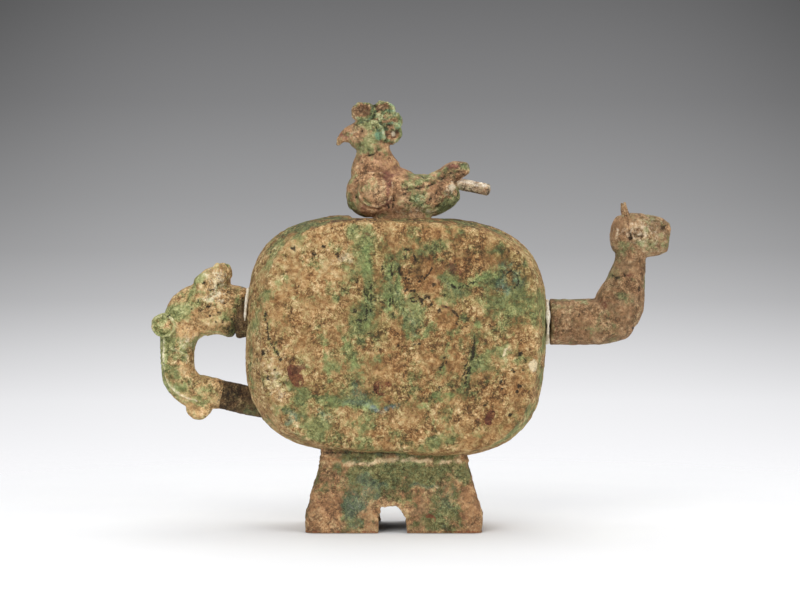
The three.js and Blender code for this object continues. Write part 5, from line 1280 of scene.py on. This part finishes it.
levels = ((1.0, 3.0), (1.0, -6.4), (0.98, -6.6), (0.84, -6.6), (0.82, -6.3), (0.82, -0.5), (0.7, -0.4))
parts.append(closed(np.stack([ring * [s, 1 - (1 - s) * 1.5, 1] + [MOUTH_X, 0, LID_BASE + h] for s, h in levels])))
for side in (-1, 1):
    parts.append(drop(-14, side * 7.2, 134, 8.6, 3.4, 8.2))
    parts.append(drop(9, side * 6.4, 133.5, 9.5, 3.0, 6.5))
points, faces = melt(parts, 0.36, 2)
x, y, z = points.T
beside = eased(abs(y), 3.6, 5.4)
low = z < 143.5
wing = np.hypot(x - WING_X, z - WING_Z) + 0.25 * crumble(points, 3, 89, 3)
rung = wing - WING_RADIUS
cast = beside * low * (0.5 * hump(rung, 0.4) - 0.3 * hump(rung + 0.9, 0.5) - 0.25 * hump(rung - 1.0, 0.5)
                       + 0.3 * eased(-wing, -5.4, -4.2))
# Along the right-hand flank of the wing's ring the crust is darkened: a painted shadow cast by the ridge, as from
# light on the left.
dark = 0.3 * beside * low * (hump(rung - 0.8, 0.4) * eased(x, -12, -8) + hump(rung + 0.8, 0.4) * eased(-x, 12, 17))
worn = eased(crumble(points, 2.4, 37, 3), -0.7, 0.3)
for knots, depth in ((((-7.0, 135.0), (-6.8, 131.0), (-7.4, 127.6)), -0.5),
                     (((-3.6, 134.8), (1.0, 135.2), (7.0, 136.4), (12.0, 139.0), (15.4, 141.4), (22.0, 141.9)), -0.5),
                     (((-4.6, 138.4), (1.0, 138.6), (7.0, 139.4), (12.0, 142.0)), 0.35),
                     (((4.0, 127.6), (10.3, 129.8), (14.9, 134.3), (16.4, 138.4)), 0.4),
                     (((2.0, 127.0), (8.4, 131.6), (11.6, 136.0)), -0.3),
                     (((13.0, 143.0), (16.0, 144.6), (19.0, 143.6), (22.4, 144.8)), 0.3),
                     (((-22.6, 149.6), (-20.4, 148.4), (-17.4, 148.3), (-14.6, 149.2), (-12.4, 151.2)), -0.6)):
    away = off_line(x, z, knots)
    cast = cast + beside * depth * hump(away, 0.65)
    dark = np.maximum(dark, beside * (depth < 0) * 0.6 * hump(away, 0.5) * worn)
hood = off_line(x, z, ((-18.1, 161.9), (-14.4, 161.9), (-11.1, 158.2), (-10.8, 155.0)))
face_eye = np.hypot(x + 19.6, z - 158.2)
beside_head = eased(abs(y), 2.4, 3.6) * (z > 149)
cast = cast + beside_head * (0.45 * hump(hood, 0.6) - 0.4 * hump(hood - 1.4, 0.6) + 0.35 * hump(face_eye - 1.6, 0.5)
                             - 0.45 * hump(face_eye, 0.8))
dark = np.maximum(dark, beside_head * (0.7 * hump(face_eye, 0.6) + 0.4 * hump(hood - 1.5, 0.5)))
rim, hollow = np.zeros((2, len(x)))
outer = eased(abs(y), 1.3, 2.0)
wavy_x, wavy_z = x + 0.5 * crumble(points, 2.2, 61, 3), z + 0.5 * crumble(points, 2.2, 67, 3)
for px, pz, wide, high in CREST:
    away = np.hypot((wavy_x - px) / wide, (wavy_z - pz) / high)
    cast = cast + outer * (0.3 * hump(away - 0.9, 0.16) - 0.75 * eased(-away, -0.75, -0.3))
    rim = np.maximum(rim, hump(away - 1.0, 0.16))
    hollow = np.maximum(hollow, eased(-away, -0.8, -0.5))
    dark = np.maximum(dark, outer * 0.26 * hump(away - 0.55, 0.2))
cleft = outer * scars(points, (
    (-15.0, 164.4, 1.2, 1.6), (-11.8, 161.6, 1.3, 0.9), (-9.8, 159.6, 0.7, 1.0), (-14.6, 168.4, 0.8, 1.2),
    (-6.8, 165.2, 0.6, 0.5), (-17.6, 162.6, 1.2, 0.6), (-10.2, 154.4, 0.7, 0.6), (-16.4, 158.6, 0.5, 0.5),
    (-13.4, 166.2, 0.6, 0.8), (-8.6, 160.2, 1.0, 0.5)), 63)
pit = beside * scars(points, (
    (-2.4, 133.2, 1.6, 0.7), (1.4, 129.6, 1.0, 1.1), (-0.6, 130.8, 0.9, 0.7), (4.6, 132.6, 0.8, 0.6),
    (6.6, 129.0, 0.6, 0.5), (-22.0, 132.0, 0.5, 0.9), (-8.6, 128.0, 0.7, 1.0), (10.6, 127.8, 0.6, 0.5),
    (-16.6, 150.4, 0.5, 0.4), (-21.2, 151.2, 0.4, 0.5), (8.6, 137.2, 0.8, 0.5), (-3.4, 137.0, 0.8, 0.6),
    (2.6, 135.4, 1.8, 0.6), (-19.4, 145.6, 1.2, 0.5), (5.0, 139.6, 1.2, 0.5)), 67)
crest = eased(z, 158, 162) * eased(x, -24, -20) + eased(z, 153, 155) * eased(x, -11, -9.5)
cast, dark = cast - 0.7 * cleft - 0.4 * pit, np.maximum(dark, np.maximum(0.52 * cleft, 0.55 * pit))
cast = cast + 0.3 * np.minimum(crest, 1) * crumble(points, 2.4, 91, 4)
cast = np.where(z < LID_BASE + 1, 0.0, cast)
green = 0.24 + 0.5 * rim * outer + 0.35 * np.minimum(crest, 1) - 0.4 * hollow * outer + spots(x, z, (
    (-13, 156.5, 1.8, 2.6, 0.8), (2.4, 130.6, 6, 5, 0.6), (8, 138.6, 5, 2.4, 0.4), (-1, 138, 5, 3, 0.5),
    (17.5, 129, 3, 4, 0.6), (21.6, 144.4, 2, 1.6, 0.8), (-24, 130, 2, 6, 0.5), (-17, 156, 7, 6, 0.35),
    (14, 127, 9, 1.8, 0.5), (-13.6, 134.6, 6, 6, -0.25), (12, 135, 5, 4, -0.3), (-10, 143, 6, 5, -0.2)))
green += 0.2 * crumble(points, 4.5, 47, 4)
teal = 0.12 + spots(x, z, ((-13, 156.5, 1.8, 2.6, 0.75), (2.4, 130.6, 5, 4, 0.3))) + 0.32 * rim * outer + 0.06 * crest
pale = 0.24 + spots(x, z, (
    (-19, 152, 5, 4, 0.2), (-23, 157.4, 3, 3, 0.3), (-7.2, 157.0, 1.2, 1.2, 1.2), (3, 126, 10, 2, 0.4),
    (16.4, 136, 2, 3, 0.6), (14, 134, 3, 3, 0.3), (22.6, 144.6, 1.6, 1.6, 0.5)))
pale += 0.3 * beside * low * hump(rung, 0.4) + 0.15 * beside_head * hump(hood, 0.6) + 0.2 * rim * outer
rust = 0.12 + spots(x, z, (
    (-8.6, 140, 6, 5, 0.4), (-26.5, 156.4, 3, 3, 0.6), (17, 144.2, 4, 1.6, 0.8), (-20, 128, 6, 4, 0.35),
    (-21, 146, 3, 4, 0.5), (-9, 134, 2, 6, 0.45), (-8, 127, 8, 3, 0.4), (12, 131, 4, 4, 0.4), (13, 139, 4, 3, 0.4)))
warm = 0.2 + spots(x, z, (
    (-14, 134.7, 11, 10, 0.9), (-14, 134.7, 5.6, 5.6, -1.5), (-10, 144, 10, 6, 1.0), (-18, 156, 7, 6, -0.4),
    (10, 134, 7, 6, 0.7), (-26, 156, 4, 4, 0.8), (-20, 128, 8, 4, 0.6), (2, 131, 6, 5, -0.9),
    (21, 144.4, 3, 2, -0.5))) + 0.5 * hollow * outer
below = z < LID_BASE + 0.6
points, marks = aged(points, faces, 801, 0.9, green, pale, cast, np.where(below, 0.2, dark), teal, rust, warm)
marks["relief"] -= 0.07 * eased(x, 8, 14)
lid_finish = crusted(
    "pinkish brown and green crust of the bird", ("503D2E", "82664E", "AD8D6E", "CBAC8A", "E6D2B2"),
    ("3A3F28", "62693F", "8F9462", "C2C496"), ("4A7E64", "70A686", "A4CAAE"), "E8DABC", "7C4640", 823.0, 1.07, 0.95,
)
piece("crested_bird", points, faces, marks, lid_finish, "lid", "lid_bronze", "bird_lid")


# The peg: a plain round bar through the bird's tail, pale on top as a painted highlight and darker beneath as painted
# shade, perhaps once the end of a chain's pin.
PEG_RUN = ((17.1, 137.6, 2.3, 2.3), (30.6, 135.0, 2.3, 2.3))
PEG_SLOPE = 0.193

points, faces = limb(PEG_RUN, 0.3, 48, 2.0, (0.5, 1.1))
x, y, z = points.T
# Its upper half is paler and warmer and its lower half darker towards the middle: a painted highlight on top and
# painted shade beneath.
top = eased(z - (137.4 - (x - 17.1) * PEG_SLOPE), -0.2, 1.2)
dark = 0.42 * (1 - top) * hump(x - 23, 7) + 0.4 * hump(x - 30.8, 0.8)
points, marks = aged(points, faces, 901, 0.7, green=0.12, pale=0.1 + 0.7 * top, dark=dark, rust=0.1,
                     warm=0.3 + 0.4 * top, drop_by=0.1)
peg_finish = crusted(
    "worn brown of the peg", ("4A392C", "7A6451", "A8947E", "CABAA4", "E4D8C6"),
    ("4C4C38", "6C6C52", "8A8A70", "A8A890"), ("46655A", "66806C", "7C9A80"), "E2D8C6", "6A4A3A", 907.0, 1.38,
)
piece("tail_peg", points, faces, marks, peg_finish, "lid", "peg_bronze", "lid_tail_peg")


low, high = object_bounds()
